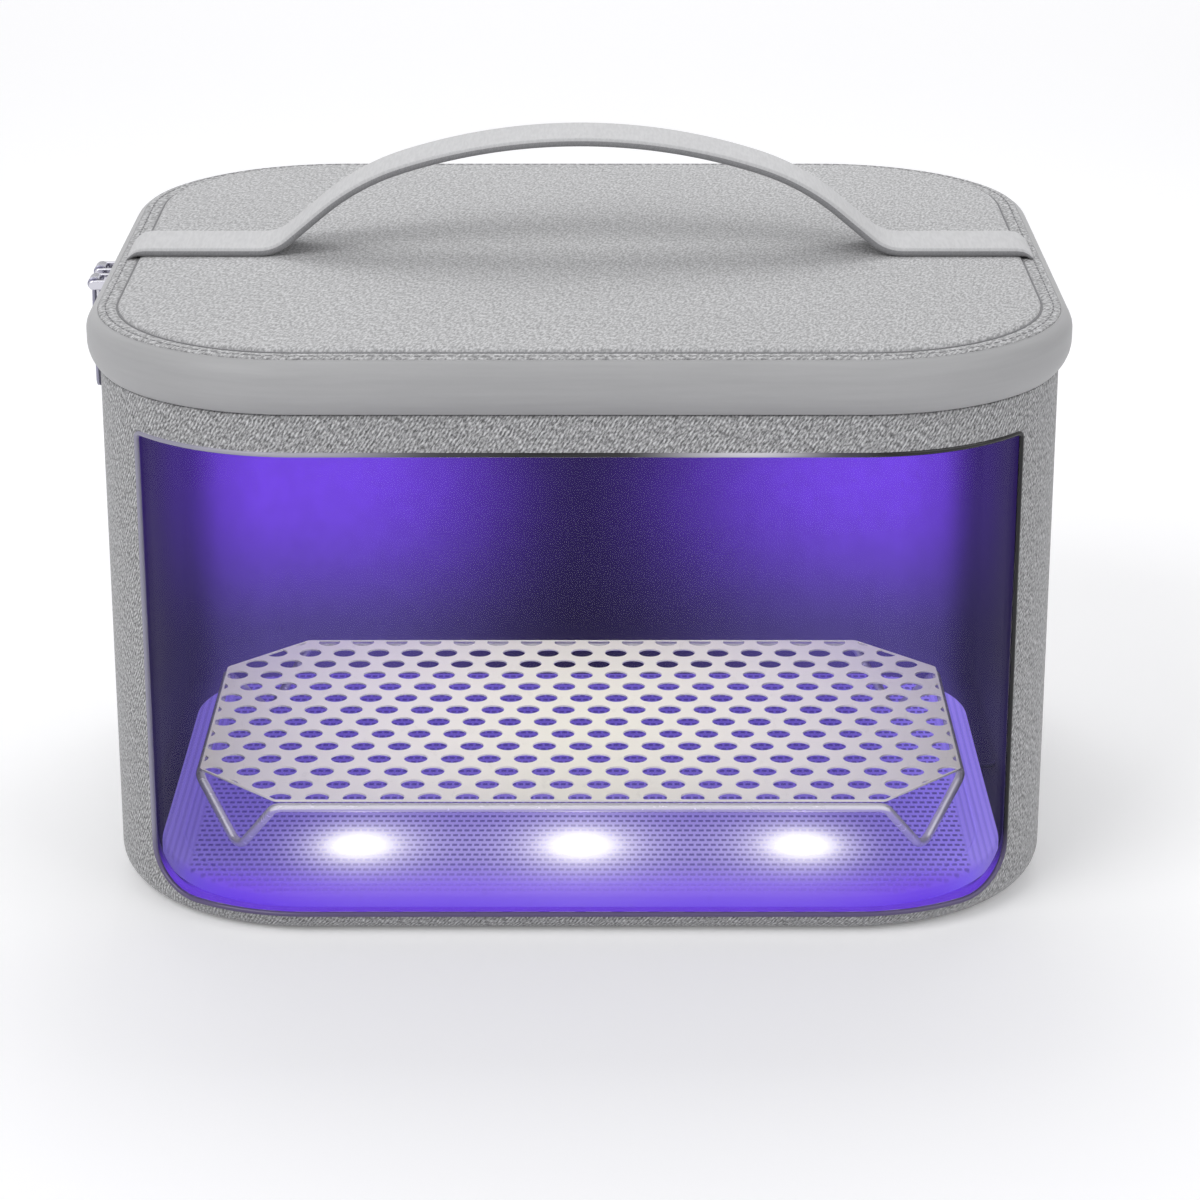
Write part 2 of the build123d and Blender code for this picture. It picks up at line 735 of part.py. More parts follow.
# Bezel of the switch and socket unit, pushed through the right wall from outside
board_face = half_width - wall - lining
with BuildPart() as control_bezel:
    extrude(unit_sketch(half_width, bezel_width, bezel_height), amount=bezel_proud)
    fillet(control_bezel.faces().sort_by(Axis.X)[-1].edges(), bezel_round)
    extrude(unit_sketch(board_face, boss_width, boss_height), amount=half_width - board_face)
    extrude(unit_sketch(board_face, pocket_width, pocket_height), amount=skin_inner - board_face,
            mode=Mode.SUBTRACT)
    with BuildSketch(unit_plane(board_face)):
        with Locations((-screw_offset, 0), (screw_offset, 0)):
            Circle(screw_boss_radius)
            Circle(screw_radius, mode=Mode.SUBTRACT)
    extrude(amount=skin_inner - board_face)
    with BuildSketch(unit_plane(skin_inner, button_offset)):
        Circle(button_radius + running_gap)
    extrude(amount=bezel_skin, mode=Mode.SUBTRACT)
    with BuildSketch(unit_plane(skin_inner, lens_offset)):
        Circle(lens_radius)
    extrude(amount=bezel_skin, mode=Mode.SUBTRACT)
    with BuildSketch(unit_plane(skin_inner, socket_offset)):
        RectangleRounded(socket_width + 2 * running_gap, socket_height + 2 * running_gap, socket_round)
    extrude(amount=bezel_skin, mode=Mode.SUBTRACT)
    with BuildSketch(Plane.XY.offset(unit_height - boss_height / 2)):
        with Locations((lead_x, lead_y)):
            Circle(lead_channel)
    extrude(amount=boss_wall + lead_channel, mode=Mode.SUBTRACT)
control_bezel.part.label = "control_bezel"
export_step(control_bezel.part, "parts/control_bezel.step")

# Inner housing against the lining, with a post round each screw
housing_back = board_face - housing_depth
board_back = board_face - board_thickness
pocket_floor = housing_back + housing_floor
with BuildPart() as control_housing:
    extrude(unit_sketch(housing_back, bezel_width - 2 * housing_inset, bezel_height - 2 * housing_inset),
            amount=housing_depth)
    fillet(control_housing.faces().sort_by(Axis.X)[0].edges(), bezel_round)
    extrude(unit_sketch(pocket_floor, boss_width + 2 * board_clearance, boss_height + 2 * board_clearance),
            amount=housing_depth - housing_floor, mode=Mode.SUBTRACT)
    with BuildSketch(unit_plane(pocket_floor)):
        with Locations((-screw_offset, 0), (screw_offset, 0)):
            Circle(screw_boss_radius)
    extrude(amount=board_back - pocket_floor)
    with BuildSketch(unit_plane(housing_back)):
        with Locations((-screw_offset, 0), (screw_offset, 0)):
            Circle(screw_radius + screw_clearance)
    extrude(amount=housing_depth, mode=Mode.SUBTRACT)
    with BuildSketch(unit_plane(housing_back)):
        with Locations((-screw_offset, 0), (screw_offset, 0)):
            Circle(screw_head_radius + screw_clearance)
    extrude(amount=screw_head_height, mode=Mode.SUBTRACT)
control_housing.part.label = "control_housing"
export_step(control_housing.part, "parts/control_housing.step")

with BuildPart() as control_board:
    extrude(unit_sketch(board_back, boss_width, boss_height), amount=board_thickness)
    with BuildSketch(unit_plane(board_back)):
        with Locations((-screw_offset, 0), (screw_offset, 0)):
            Circle(screw_radius + screw_clearance)
    extrude(amount=board_thickness, mode=Mode.SUBTRACT)
control_board.part.label = "control_board"
export_step(control_board.part, "parts/control_board.step")

with BuildPart() as control_screws:
    with BuildSketch(unit_plane(housing_back)):
        with Locations((-screw_offset, 0), (screw_offset, 0)):
            Circle(screw_head_radius)
    extrude(amount=screw_head_height)
    with BuildSketch(unit_plane(housing_back)):
        with Locations((-screw_offset, 0), (screw_offset, 0)):
            Circle(screw_radius - thread_play)
    extrude(amount=screw_length)
control_screws.part.label = "control_screws"
export_step(control_screws.part, "parts/control_screws.step")

# Power inlet: metal shell on the board with a tongue inside
socket_mouth = half_width + bezel_proud - socket_recess
with BuildPart() as usb_socket:
    with BuildSketch(unit_plane(board_face, socket_offset)):
        RectangleRounded(socket_width, socket_height, socket_round)
    extrude(amount=socket_mouth - board_face)
    with BuildSketch(unit_plane(socket_mouth - socket_depth, socket_offset)):
        RectangleRounded(socket_width - 2 * socket_wall, socket_height - 2 * socket_wall,
                         socket_round - socket_wall)
    extrude(amount=socket_depth, mode=Mode.SUBTRACT)
    with BuildSketch(unit_plane(socket_mouth - socket_depth, socket_offset)):
        Rectangle(tongue_width, tongue_thickness)
    extrude(amount=tongue_length)
usb_socket.part.label = "usb_socket"
export_step(usb_socket.part, "parts/usb_socket.step")

# Switch under the button: its plunger rides with the button
flange_top = skin_inner - running_gap
flange_bottom = flange_top - button_flange_thickness
with BuildPart() as tact_switch:
    with BuildSketch(unit_plane(board_face, button_offset)):
        Rectangle(switch_side, switch_side)
        Circle(plunger_radius + running_gap, mode=Mode.SUBTRACT)
    extrude(amount=switch_height)
    with BuildSketch(unit_plane(board_face, button_offset)):
        Circle(plunger_radius + running_gap)
    extrude(amount=plunger_seat)
tact_switch.part.label = "tact_switch"
export_step(tact_switch.part, "parts/tact_switch.step")

with BuildPart() as switch_plunger:
    plunger_end = board_face + plunger_seat + button_travel + running_gap
    with BuildSketch(unit_plane(plunger_end, button_offset)):
        Circle(plunger_radius)
    extrude(amount=flange_bottom - plunger_end)
switch_plunger.part.label = "switch_plunger"
export_step(switch_plunger.part, "parts/switch_plunger.step")

with BuildPart() as power_button:
    with BuildSketch(unit_plane(flange_bottom, button_offset)):
        Circle(button_radius + button_flange)
    extrude(amount=button_flange_thickness)
    with BuildSketch(unit_plane(flange_top, button_offset)):
        Circle(button_radius)
    extrude(amount=half_width + bezel_proud + button_proud - flange_top)
    button_face = power_button.faces().sort_by(Axis.X)[-1]
    chamfer(button_face.edges(), button_dish)
power_button.part.label = "power_button"
export_step(power_button.part, "parts/power_button.step")

with BuildPart() as indicator_lens:
    with BuildSketch(unit_plane(board_face, lens_offset)):
        Circle(lens_radius)
    extrude(amount=half_width + bezel_proud - board_face)
indicator_lens.part.label = "indicator_lens"
export_step(indicator_lens.part, "parts/indicator_lens.step")

with BuildPart() as reed_switch:
    with BuildSketch(Plane.XZ.offset(-unit_y - reed_length / 2)):
        with Locations((board_face + reed_radius, unit_height + reed_offset)):
            Circle(reed_radius)
    extrude(amount=reed_length)
reed_switch.part.label = "reed_switch"
export_step(reed_switch.part, "parts/reed_switch.step")
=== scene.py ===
"""Dresses the portable disinfection bag: cloth covers, clear front, lamp mat, rack, zip and lid.

Lengths are metres in the frame of the solids: X to the right, Y to the back, Z up, and the
origin in the middle of the underside. An inset is measured inwards from the outer walls.
"""

import logging
import math
from contextlib import contextmanager
from dataclasses import dataclass, field
from enum import Enum
from functools import cache
from typing import Any, Callable, Iterator

import bmesh
import bpy
import numpy as np
from mathutils import Matrix, Vector


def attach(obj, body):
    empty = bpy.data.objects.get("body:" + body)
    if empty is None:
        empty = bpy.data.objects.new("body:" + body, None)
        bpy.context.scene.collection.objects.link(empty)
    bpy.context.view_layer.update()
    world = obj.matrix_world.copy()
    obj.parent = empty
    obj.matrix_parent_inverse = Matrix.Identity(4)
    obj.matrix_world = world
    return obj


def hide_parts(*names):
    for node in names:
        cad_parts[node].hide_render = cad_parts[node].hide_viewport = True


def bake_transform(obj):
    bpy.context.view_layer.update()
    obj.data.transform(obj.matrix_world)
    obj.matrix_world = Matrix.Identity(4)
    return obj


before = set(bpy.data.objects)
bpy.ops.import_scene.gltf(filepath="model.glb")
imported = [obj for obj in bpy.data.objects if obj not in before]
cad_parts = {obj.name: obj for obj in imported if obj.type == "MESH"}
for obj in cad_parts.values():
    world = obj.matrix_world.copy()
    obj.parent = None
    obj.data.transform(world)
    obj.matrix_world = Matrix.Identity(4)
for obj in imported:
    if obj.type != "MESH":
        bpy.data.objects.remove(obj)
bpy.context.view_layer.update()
LOG = logging.getLogger("bag")

Piece = bpy.types.Object
Socket = bpy.types.NodeSocket
Colour = tuple[float, float, float]
Point = tuple[float, float]
Profile = list[Point]

WHITE = (1.0, 1.0, 1.0, 1.0)
BLACK = (0.0, 0.0, 0.0, 1.0)
UP = (0.0, 0.0, 1.0)
BACKWARDS = (0.0, 1.0, 0.0)


class Body(str, Enum):
    """Moving bodies of the bag, as the solids name them."""

    BAG = "bag_body"
    LID = "lid"
    RACK = "rack"
    BUTTON = "power_button"
    SLIDER_FRONT = "slider_front"
    SLIDER_REAR = "slider_rear"
    PULL_FRONT = "pull_front"
    PULL_REAR = "pull_rear"


class Cut(str, Enum):
    """What a cutter leaves of a piece."""

    AWAY = "DIFFERENCE"
    INSIDE = "INTERSECT"


def paint(colour: Colour) -> tuple[float, float, float, float]:
    """Scene-linear colour of a paint given as display values from 0 to 255."""
    shares = [channel / 255 for channel in colour]
    return (*(c / 12.92 if c <= 0.04045 else ((c + 0.055) / 1.055) ** 2.4 for c in shares), 1.0)


# ---- node graphs


class Graph:
    """Node tree with short calls that add and join nodes."""

    def __init__(self, tree: bpy.types.NodeTree) -> None:
        """Keeps the tree that the calls work on."""
        self.tree = tree

    def feed(self, sockets: Any, values: dict[Any, Any]) -> None:
        """Joins sockets to others, or sets their values.

        Args:
            sockets: Inputs of a node.
            values: Values or sockets by input name or number.
        """
        for key, value in values.items():
            if isinstance(value, Socket):
                self.tree.links.new(value, sockets[key])
            else:
                sockets[key].default_value = value

    def node(self, kind: str, inputs: dict[Any, Any], **settings: Any) -> bpy.types.Node:
        """Adds a node.

        Args:
            kind: Type name of the node.
            inputs: Values or sockets by input name or number.
            **settings: Properties of the node.

        Returns:
            The new node.
        """
        made = self.tree.nodes.new(kind)
        for key, value in settings.items():
            setattr(made, key, value)
        self.feed(made.inputs, inputs)
        return made

    def out(self, kind: str, inputs: dict[Any, Any], output: Any = 0, **settings: Any) -> Socket:
        """Adds a node and returns one of its outputs."""
        return self.node(kind, inputs, **settings).outputs[output]

    def maths(self, operation: str, *values: Any, clamp: bool = False) -> Socket:
        """Adds a Math node on the given values and returns its result."""
        return self.out("ShaderNodeMath", dict(enumerate(values)), operation=operation, use_clamp=clamp)

    def vector(self, operation: str, *values: Any, output: str = "Vector") -> Socket:
        """Adds a Vector Math node on the given values and returns one of its results."""
        return self.out("ShaderNodeVectorMath", dict(enumerate(values)), output, operation=operation)

    def split(self, vector: Any) -> tuple[Socket, ...]:
        """Adds a Separate XYZ node and returns its three outputs."""
        return tuple(self.node("ShaderNodeSeparateXYZ", {"Vector": vector}).outputs)

    def blend(self, factor: Any, first: Any, second: Any, mode: str = "MIX") -> Socket:
        """Adds a colour mix and returns its result."""
        return self.out("ShaderNodeMix", {0: factor, 6: first, 7: second}, 2, data_type="RGBA", blend_type=mode)

    def times(self, first: Any, second: Any) -> Socket:
        """Adds a product of two colours and returns it."""
        return self.blend(1.0, first, second, "MULTIPLY")

    def span(self, value: Any, low: float, high: float, start: float = 0.0, end: float = 1.0) -> Socket:
        """Maps a value from one range to another, eased and clamped."""
        ends = dict(enumerate((value, low, high, start, end)))
        return self.out("ShaderNodeMapRange", ends, interpolation_type="SMOOTHSTEP")

    def noise(self, place: Any, scale: Any, detail: float = 2.0, **inputs: Any) -> Socket:
        """Adds a noise texture and returns its value."""
        return self.out("ShaderNodeTexNoise", {"Vector": place, "Scale": scale, "Detail": detail, **inputs})

    def place(self, output: str = "Object") -> Socket:
        """Place on the object, or on its UV map, in metres."""
        return self.out("ShaderNodeTexCoord", {}, output)

    def relief(self, height: Any, depth: float, strength: float) -> Socket:
        """Adds a relief of a depth in metres and returns its normal."""
        return self.out("ShaderNodeBump", {"Height": height, "Distance": depth, "Strength": strength})

    def attribute(self, name: str, kind: str) -> Socket:
        """Adds a named attribute to a geometry tree and returns its value."""
        return self.out("GeometryNodeInputNamedAttribute", {"Name": name}, data_type=kind)

    def together(self, *parts: Socket) -> Socket:
        """Adds a Join Geometry node on the parts and returns the whole."""
        made = self.tree.nodes.new("GeometryNodeJoinGeometry")
        for part in parts:
            self.tree.links.new(part, made.inputs[0])
        return made.outputs[0]

    def finished(self, geometry: Socket, finish: Socket) -> Socket:
        """Makes a geometry tree's instances real and gives them their material."""
        real = self.out("GeometryNodeRealizeInstances", {"Geometry": geometry})
        return self.out("GeometryNodeSetMaterial", {"Geometry": real, "Material": finish})


SHADING, GEOMETRY = "ShaderNodeTree", "GeometryNodeTree"
SOCKET_TYPES = {float: "NodeSocketFloat", int: "NodeSocketInt", tuple: "NodeSocketVector"}
Builder = Callable[[], bpy.types.NodeTree]


def group(
    name: str, kind: str, takes: dict[str, Any], gives: str, given: str
) -> Callable[[Callable[[Graph, Any], Socket]], Builder]:
    """Turns a function that adds nodes into one that gives their group, built on its first call.

    Args:
        name: Name of the group.
        kind: SHADING or GEOMETRY.
        takes: Each input's default by its name, or the socket's type where it has none.
        gives: Name of the output.
        given: Socket type of the output.

    Returns:
        What turns the function.
    """

    def turn(fill: Callable[[Graph, Any], Socket]) -> Builder:
        """Wraps the function that adds the nodes and returns what the group gives."""

        @cache
        def build() -> bpy.types.NodeTree:
            """Builds the group's tree."""
            tree = bpy.data.node_groups.new(name, kind)
            for label, default in takes.items():
                socket_type = SOCKET_TYPES.get(type(default), default)
                socket = tree.interface.new_socket(label, in_out="INPUT", socket_type=socket_type)
                if default is not socket_type:
                    socket.default_value = default
            tree.interface.new_socket(gives, in_out="OUTPUT", socket_type=given)
            graph = Graph(tree)
            result = fill(graph, graph.node("NodeGroupInput", {}).outputs)
            graph.node("NodeGroupOutput", {gives: result})
            return tree

        return build

    return turn


@group("melange_flecks", SHADING,
       {"Vector": "NodeSocketVector", "Fineness": 900.0, "Stretch": (1.0, 0.35, 1.0), "Slope": 0.7},
       "Flecks", "NodeSocketFloat")
def melange_flecks(g: Graph, takes: Any) -> Socket:
    """Short light and dark flecks of a melange yarn, over a cloudier shade."""
    turned = g.out("ShaderNodeVectorRotate", {"Vector": takes["Vector"], "Angle": takes["Slope"]},
                   rotation_type="Z_AXIS")
    stretched = g.vector("MULTIPLY", turned, takes["Stretch"])
    fine = g.noise(stretched, takes["Fineness"], 1.0, Roughness=0.7)
    broad = g.noise(stretched, g.maths("MULTIPLY", takes["Fineness"], 0.3), 1.0)
    return g.maths("MULTIPLY_ADD", broad, 0.3, g.maths("MULTIPLY", g.span(fine, 0.30, 0.70), 0.7))


@group("yarn_relief", SHADING,
       {"Vector": "NodeSocketVector", "Yarn": 0.0008, "Twill": 0.5, "Lean": -0.6},
       "Height", "NodeSocketFloat")
def yarn_relief(g: Graph, takes: Any) -> Socket:
    """Relief of a woven cloth: crossing yarns and, in front, a diagonal rib, shared out by Twill."""
    x, y, _ = g.split(takes["Vector"])
    turn = g.maths("DIVIDE", math.tau, takes["Yarn"])
    across, along = (g.maths("SINE", g.maths("MULTIPLY", run, turn)) for run in (x, y))
    crossing = g.maths("MULTIPLY_ADD", g.maths("MULTIPLY", across, along), 0.5, 0.5)
    slope = g.maths("ADD", x, g.maths("MULTIPLY", y, takes["Lean"]))
    wobble = g.noise(takes["Vector"], 420.0, 1.0)
    bent = g.maths("MULTIPLY_ADD", wobble, g.maths("MULTIPLY", takes["Yarn"], 0.7), slope)
    rib = g.maths("MULTIPLY_ADD", g.maths("SINE", g.maths("MULTIPLY", bent, turn)), 0.5, 0.5)
    plain = g.maths("MULTIPLY", crossing, g.maths("SUBTRACT", 1.0, takes["Twill"]))
    return g.maths("MULTIPLY_ADD", rib, takes["Twill"], plain)


@group("lamp_pool", SHADING, {"Vector": "NodeSocketVector", "Radius": 0.02}, "Light", "NodeSocketFloat")
def lamp_pool(g: Graph, takes: Any) -> Socket:
    """Fading pool of light round each of the three lamps."""
    flat = g.vector("MULTIPLY", takes["Vector"], (1.0, 1.0, 0.0))
    total: Any = 0.0
    for x in LampMat.lamp_places:
        reach = g.vector("DISTANCE", flat, (x, LampMat.lamp_y, 0.0), output="Value")
        pool = g.maths("DIVIDE", takes["Radius"], g.maths("ADD", reach, takes["Radius"]))
        total = g.maths("ADD", total, g.maths("POWER", pool, 3.2))
    return g.maths("MINIMUM", total, 1.0)


@group("handling_marks", SHADING, {"Vector": "NodeSocketVector"}, "Scuffs", "NodeSocketFloat")
def handling_marks(g: Graph, takes: Any) -> Socket:
    """Faint scuffs for hard surfaces: thin scratches over a cloudy haze."""
    haze = g.noise(takes["Vector"], 60.0, 4.0)
    scratch = g.noise(g.vector("MULTIPLY", takes["Vector"], (1.0, 9.0, 1.0)), 240.0)
    return g.maths("MULTIPLY_ADD", haze, 0.4, g.maths("MULTIPLY", g.span(scratch, 0.62, 0.72), 0.6))


def add_group(g: Graph, builder: Builder, **inputs: Any) -> Socket:
    """Adds a shader group on the place on the object, or on the given Vector, and returns its output."""
    return g.out("ShaderNodeGroup", {"Vector": g.place()} | inputs, node_tree=builder())


def seen(g: Graph) -> Socket:
    """One for what the camera sees, also by way of metal and glass, and nought for other light."""
    ray = g.node("ShaderNodeLightPath", {}).outputs
    mirrored = g.maths("MAXIMUM", ray["Is Glossy Ray"], ray["Is Transmission Ray"])
    return g.maths("MAXIMUM", ray["Is Camera Ray"], mirrored)


# ---- finishes


@dataclass(frozen=True)
class Finish:
    """Surface finish: its name, its slot in the record, its colour in display values and its gloss."""

    name: str
    slot: str
    colour: Colour
    roughness: float

    def tone(self, share: float = 1.0) -> tuple[float, float, float, float]:
        """The finish's colour, made lighter or darker by a share."""
        return paint([min(255.0, channel * share) for channel in self.colour])

    def shade(self, g: Graph, shader: Any) -> None:
        """Adds the finish's own nodes to the shader's inputs. A plain finish has none."""

    def build(self) -> bpy.types.Material:
        """Makes the material.

        Returns:
            The material, with its colour, its gloss and the finish's own nodes.
        """
        material = bpy.data.materials.new(self.name)
        material.use_nodes = True
        material.diffuse_color = paint(self.colour)
        shader = material.node_tree.nodes["Principled BSDF"].inputs
        graph = Graph(material.node_tree)
        graph.feed(shader, {"Roughness": self.roughness, "Base Color": paint(self.colour)})
        self.shade(graph, shader)
        return material


@dataclass(frozen=True)
class MelangeCloth(Finish):
    """Woven melange cloth laid out by the piece's own UV map, in metres."""

    fineness: float = 2000.0
    stretch: float = 0.45
    slope: float = 0.55
    contrast: float = 0.30
    yarn: float = 0.00105
    twill: float = 0.8
    rib: float = 0.25
    depth: float = 0.00012
    strength: float = 0.5
    soil: float = 0.03

    def shade(self, g: Graph, shader: Any) -> None:
        """Adds flecks, a weave relief with painted shade in its low parts, and a faint cloudy tone."""
        cloth = g.place("UV")
        flecks = add_group(g, melange_flecks, Vector=cloth, Fineness=self.fineness,
                           Stretch=(1.0, self.stretch, 1.0), Slope=self.slope)
        weave = add_group(g, yarn_relief, Vector=cloth, Yarn=self.yarn, Twill=self.twill)
        tint = g.blend(flecks, self.tone(1 - self.contrast), self.tone(1 + self.contrast))
        # The weave's low parts are darkened by the rib share: painted shade in the yarn troughs.
        woven = g.times(tint, g.span(weave, 0.0, 0.9, 1 - self.rib, 1.0))
        cloud = g.span(g.noise(g.place(), 9.0, 3.0), 0.3, 0.7, 1 - self.soil, 1 + self.soil)
        height = g.maths("MULTIPLY_ADD", flecks, 0.5, g.maths("MULTIPLY", weave, 0.6))
        g.feed(shader, {
            "Base Color": g.times(woven, cloud), "Normal": g.relief(height, self.depth, self.strength),
            "Sheen Weight": 0.25, "Sheen Roughness": 0.5, "Specular IOR Level": 0.2})


@dataclass(frozen=True)
class CoatedCloth(Finish):
    """Smooth coated cloth with a fine grain, drawn along the band."""

    grain: float = 1500.0
    depth: float = 0.00006

    def shade(self, g: Graph, shader: Any) -> None:
        """Adds a fine grain and long soft streaks."""
        place = g.place()
        streaks = g.noise(g.vector("MULTIPLY", g.place("UV"), (0.06, 1.0, 1.0)), 700.0, 3.0)
        grain = g.out("ShaderNodeTexVoronoi", {"Vector": place, "Scale": self.grain}, "Distance")
        tint = g.blend(streaks, self.tone(0.965), self.tone(1.035))
        g.feed(shader, {
            "Base Color": g.times(tint, g.span(g.noise(place, 14.0), 0.3, 0.7, 0.975, 1.025)),
            "Roughness": g.span(streaks, 0.3, 0.7, self.roughness - 0.05, self.roughness + 0.05),
            "Normal": g.relief(grain, self.depth, 0.35)})


@dataclass(frozen=True)
class GlowLining(Finish):
    """Silvered violet lining, painted with the light that the lamps throw up it."""

    glow: float = 0.85
    top: tuple[Colour, Colour] = ((45, 32, 86), (119, 74, 228))
    low: tuple[Colour, Colour] = ((38, 32, 66), (80, 70, 134))
    # Painted shade at the lining's two ends, and painted light on the sill in front.
    ends: Colour = (20, 17, 36)
    sill: Colour = (104, 64, 206)
    unlit: Colour = (18, 15, 30)

    def shade(self, g: Graph, shader: Any) -> None:
        """Adds two soft pools of light that fade downwards and into the corners."""
        place = g.place()
        x, y, z = g.split(place)
        off = g.maths("ABSOLUTE", x)
        from_middle = g.maths("MULTIPLY", off, g.span(x, 0.0, 0.02, 1.0, 0.86))
        room = g.maths("DIVIDE", g.maths("SUBTRACT", 0.1455, off), 0.0275, clamp=True)
        corner = g.maths("MULTIPLY", g.maths("SQRT", room), g.span(y, -0.03, 0.075, 0.1, 1.0))
        pool = g.maths("MULTIPLY", g.span(from_middle, 0.0, 0.090), corner)
        top, low = (g.blend(pool, paint(dim), paint(lit)) for dim, lit in (self.top, self.low))
        level = g.maths("MULTIPLY_ADD", g.maths("ADD", y, 0.128), 0.316, z)
        walls = g.blend(g.span(level, 0.082, 0.150), low, top)
        # Painted shade darkens the two ends, more on the right; painted light makes the sill a bright violet.
        beside = g.maths("MULTIPLY", g.span(off, 0.131, 0.1425), g.span(x, -0.01, 0.01, 0.42, 0.62))
        near_sill = g.span(y, -0.105, -0.090, 1.0, 0.0)
        sill = g.maths("MULTIPLY", g.span(z, 0.010, 0.020, 1.0, 0.0), near_sill)
        lit = g.blend(sill, g.blend(beside, walls, paint(self.ends)), paint(self.sill))
        toned = g.times(lit, g.span(g.noise(place, 160.0), 0.3, 0.7, 0.97, 1.03))
        g.feed(shader, {
            "Base Color": g.blend(0.7, toned, paint(self.unlit)), "Emission Color": toned,
            "Emission Strength": self.glow, "Specular IOR Level": 0.1})


@dataclass(frozen=True)
class LampMesh(Finish):
    """Fine mesh of the mat: rows of dark dashes, lit violet, with a pool round each lamp."""

    dash: float = 0.0024
    row: float = 0.0039
    rib: float = 0.0021
    glow: float = 0.62
    # Colours of the painted light on the mat: its middle, its two ends, its front strip, and the pools and
    # cores round the lamps. The holes' colour is the mesh's own.
    middle: Colour = (112, 94, 194)
    left: Colour = (128, 112, 206)
    right: Colour = (160, 142, 250)
    front: Colour = (114, 64, 228)
    pool_light: Colour = (216, 208, 250)
    core: Colour = (255, 254, 255)
    hole: Colour = (52, 40, 124)

    def holes(self, g: Graph, place: Socket, front: Socket) -> Socket:
        """Adds the dashes on the mat's top and the ribs along its ends.

        Args:
            g: Graph of the material.
            place: Place on the mat.
            front: One at the mat's front edge, fading backwards.

        Returns:
            One in a hole and nought on the cloth.
        """
        x, y, z = g.split(place)
        line = g.maths("DIVIDE", y, self.row)
        shift = g.maths("MULTIPLY", g.maths("FLOORED_MODULO", g.maths("FLOOR", line), 2.0), 0.5)
        across = g.maths("PINGPONG", g.maths("ADD", g.maths("DIVIDE", x, self.dash), shift), 0.5)
        along = g.maths("PINGPONG", line, 0.5)
        dash = g.maths("MULTIPLY", g.span(across, 0.10, 0.22), g.span(along, 0.20, 0.36))
        end = g.span(g.maths("ABSOLUTE", x), 0.124, 0.126)
        ribs = g.span(g.maths("PINGPONG", g.maths("DIVIDE", x, self.rib), 0.5), 0.20, 0.36)
        beyond = g.maths("MULTIPLY", end, g.span(front, 0.0, 0.3, 0.3, 0.0))
        inner = g.maths("MULTIPLY", dash, g.maths("SUBTRACT", 1.0, end))
        both = g.maths("MAXIMUM", inner, g.maths("MULTIPLY", ribs, beyond))
        return g.maths("MULTIPLY", g.span(z, 0.0086, 0.0097), both)

    def shade(self, g: Graph, shader: Any) -> None:
        """Adds the lit cloth, its holes and the lamps' pools."""
        place = g.place()
        x, y, _ = g.split(place)
        # Painted light: the strip along the mat's front is a brighter violet.
        front = g.span(y, -0.116, -0.088, 1.0, 0.0)
        holes = self.holes(g, place, front)
        # Painted light: a whitish pool and a white core round each lamp.
        pool, centre = (add_group(g, lamp_pool, Vector=place, Radius=radius) for radius in (0.050, 0.030))
        # Painted light: the mat is lighter at the right than at the left, and lighter towards its ends than in
        # the middle.
        beside = g.blend(g.span(x, -0.01, 0.01), paint(self.left), paint(self.right))
        ground = g.blend(g.span(g.maths("ABSOLUTE", x), 0.085, 0.137), paint(self.middle), beside)
        cloth = g.blend(front, ground, paint(self.front))
        pool_light = g.blend(g.span(pool, 0.05, 0.8), cloth, paint(self.pool_light))
        lit = g.blend(g.span(centre, 0.11, 0.60), pool_light, paint(self.core))
        # Painted light: the dashes are fainter at the front and fade out in the pools round the lamps.
        share = g.maths("MULTIPLY", holes, g.maths("SUBTRACT", 0.74, g.maths("MULTIPLY", front, 0.62)))
        fade = g.maths("MULTIPLY", share, g.span(centre, 0.12, 0.5, 1.0, 0.0))
        colour = g.blend(fade, lit, paint(self.hole))
        dimmed = g.times(colour, (self.glow, self.glow, self.glow, 1.0))
        # The mat glows with this painted light through its emission, though it is no lamp.
        g.feed(shader, {
            "Base Color": g.blend(0.5, colour, self.tone()),
            "Emission Color": g.blend(g.span(centre, 0.28, 0.66), dimmed, WHITE),
            "Emission Strength": 1.0,
            "Normal": g.relief(g.maths("SUBTRACT", 1.0, holes), 0.0004, 0.5)})


@dataclass(frozen=True)
class PolishedBead(Finish):
    """Polished edge of the window, with the bright and dark runs that it mirrors."""

    reach: float = 0.136
    foot: Colour = (96, 84, 124)
    run: tuple[tuple[float, Colour], ...] = (
        (0.00, (150, 148, 166)), (0.20, (176, 175, 186)), (0.36, (54, 54, 60)), (0.46, (14, 15, 18)),
        (0.54, (34, 34, 38)), (0.69, (216, 214, 222)), (0.80, (60, 58, 70)), (0.84, (8, 8, 12)))

    def shade(self, g: Graph, shader: Any) -> None:
        """Adds the run of light and dark along the window."""
        x, _, z = g.split(g.place())
        share = g.out("ShaderNodeMapRange", {0: x, 1: -self.reach, 2: self.reach})
        ramp = g.node("ShaderNodeValToRGB", {"Fac": share})
        ramp.color_ramp.interpolation = "EASE"
        elements = ramp.color_ramp.elements
        while len(elements) < len(self.run):
            elements.new(0.5)
        for element, (place, colour) in zip(elements, self.run):
            element.position, element.color = place, paint(colour)
        # Towards the bottom the bead takes a dim violet: painted reflection of the lit inside.
        low = g.span(z, 0.012, 0.03, 1.0, 0.0)
        g.feed(shader, {"Base Color": g.blend(low, ramp.outputs["Color"], paint(self.foot)),
                        "Coat Weight": 0.2, "Specular IOR Level": 0.3})


@dataclass(frozen=True)
class ClearPane(Finish):
    """Thin clear sheet, a little dulled by rub marks."""

    bending: float = 1.12

    def shade(self, g: Graph, shader: Any) -> None:
        """Adds the rub marks and makes the sheet clear."""
        marks = g.span(add_group(g, handling_marks), 0.4, 0.95)
        g.feed(shader, {"Base Color": g.blend(marks, self.tone(), self.tone(0.975)),
                        "Transmission Weight": 1.0, "IOR": self.bending})


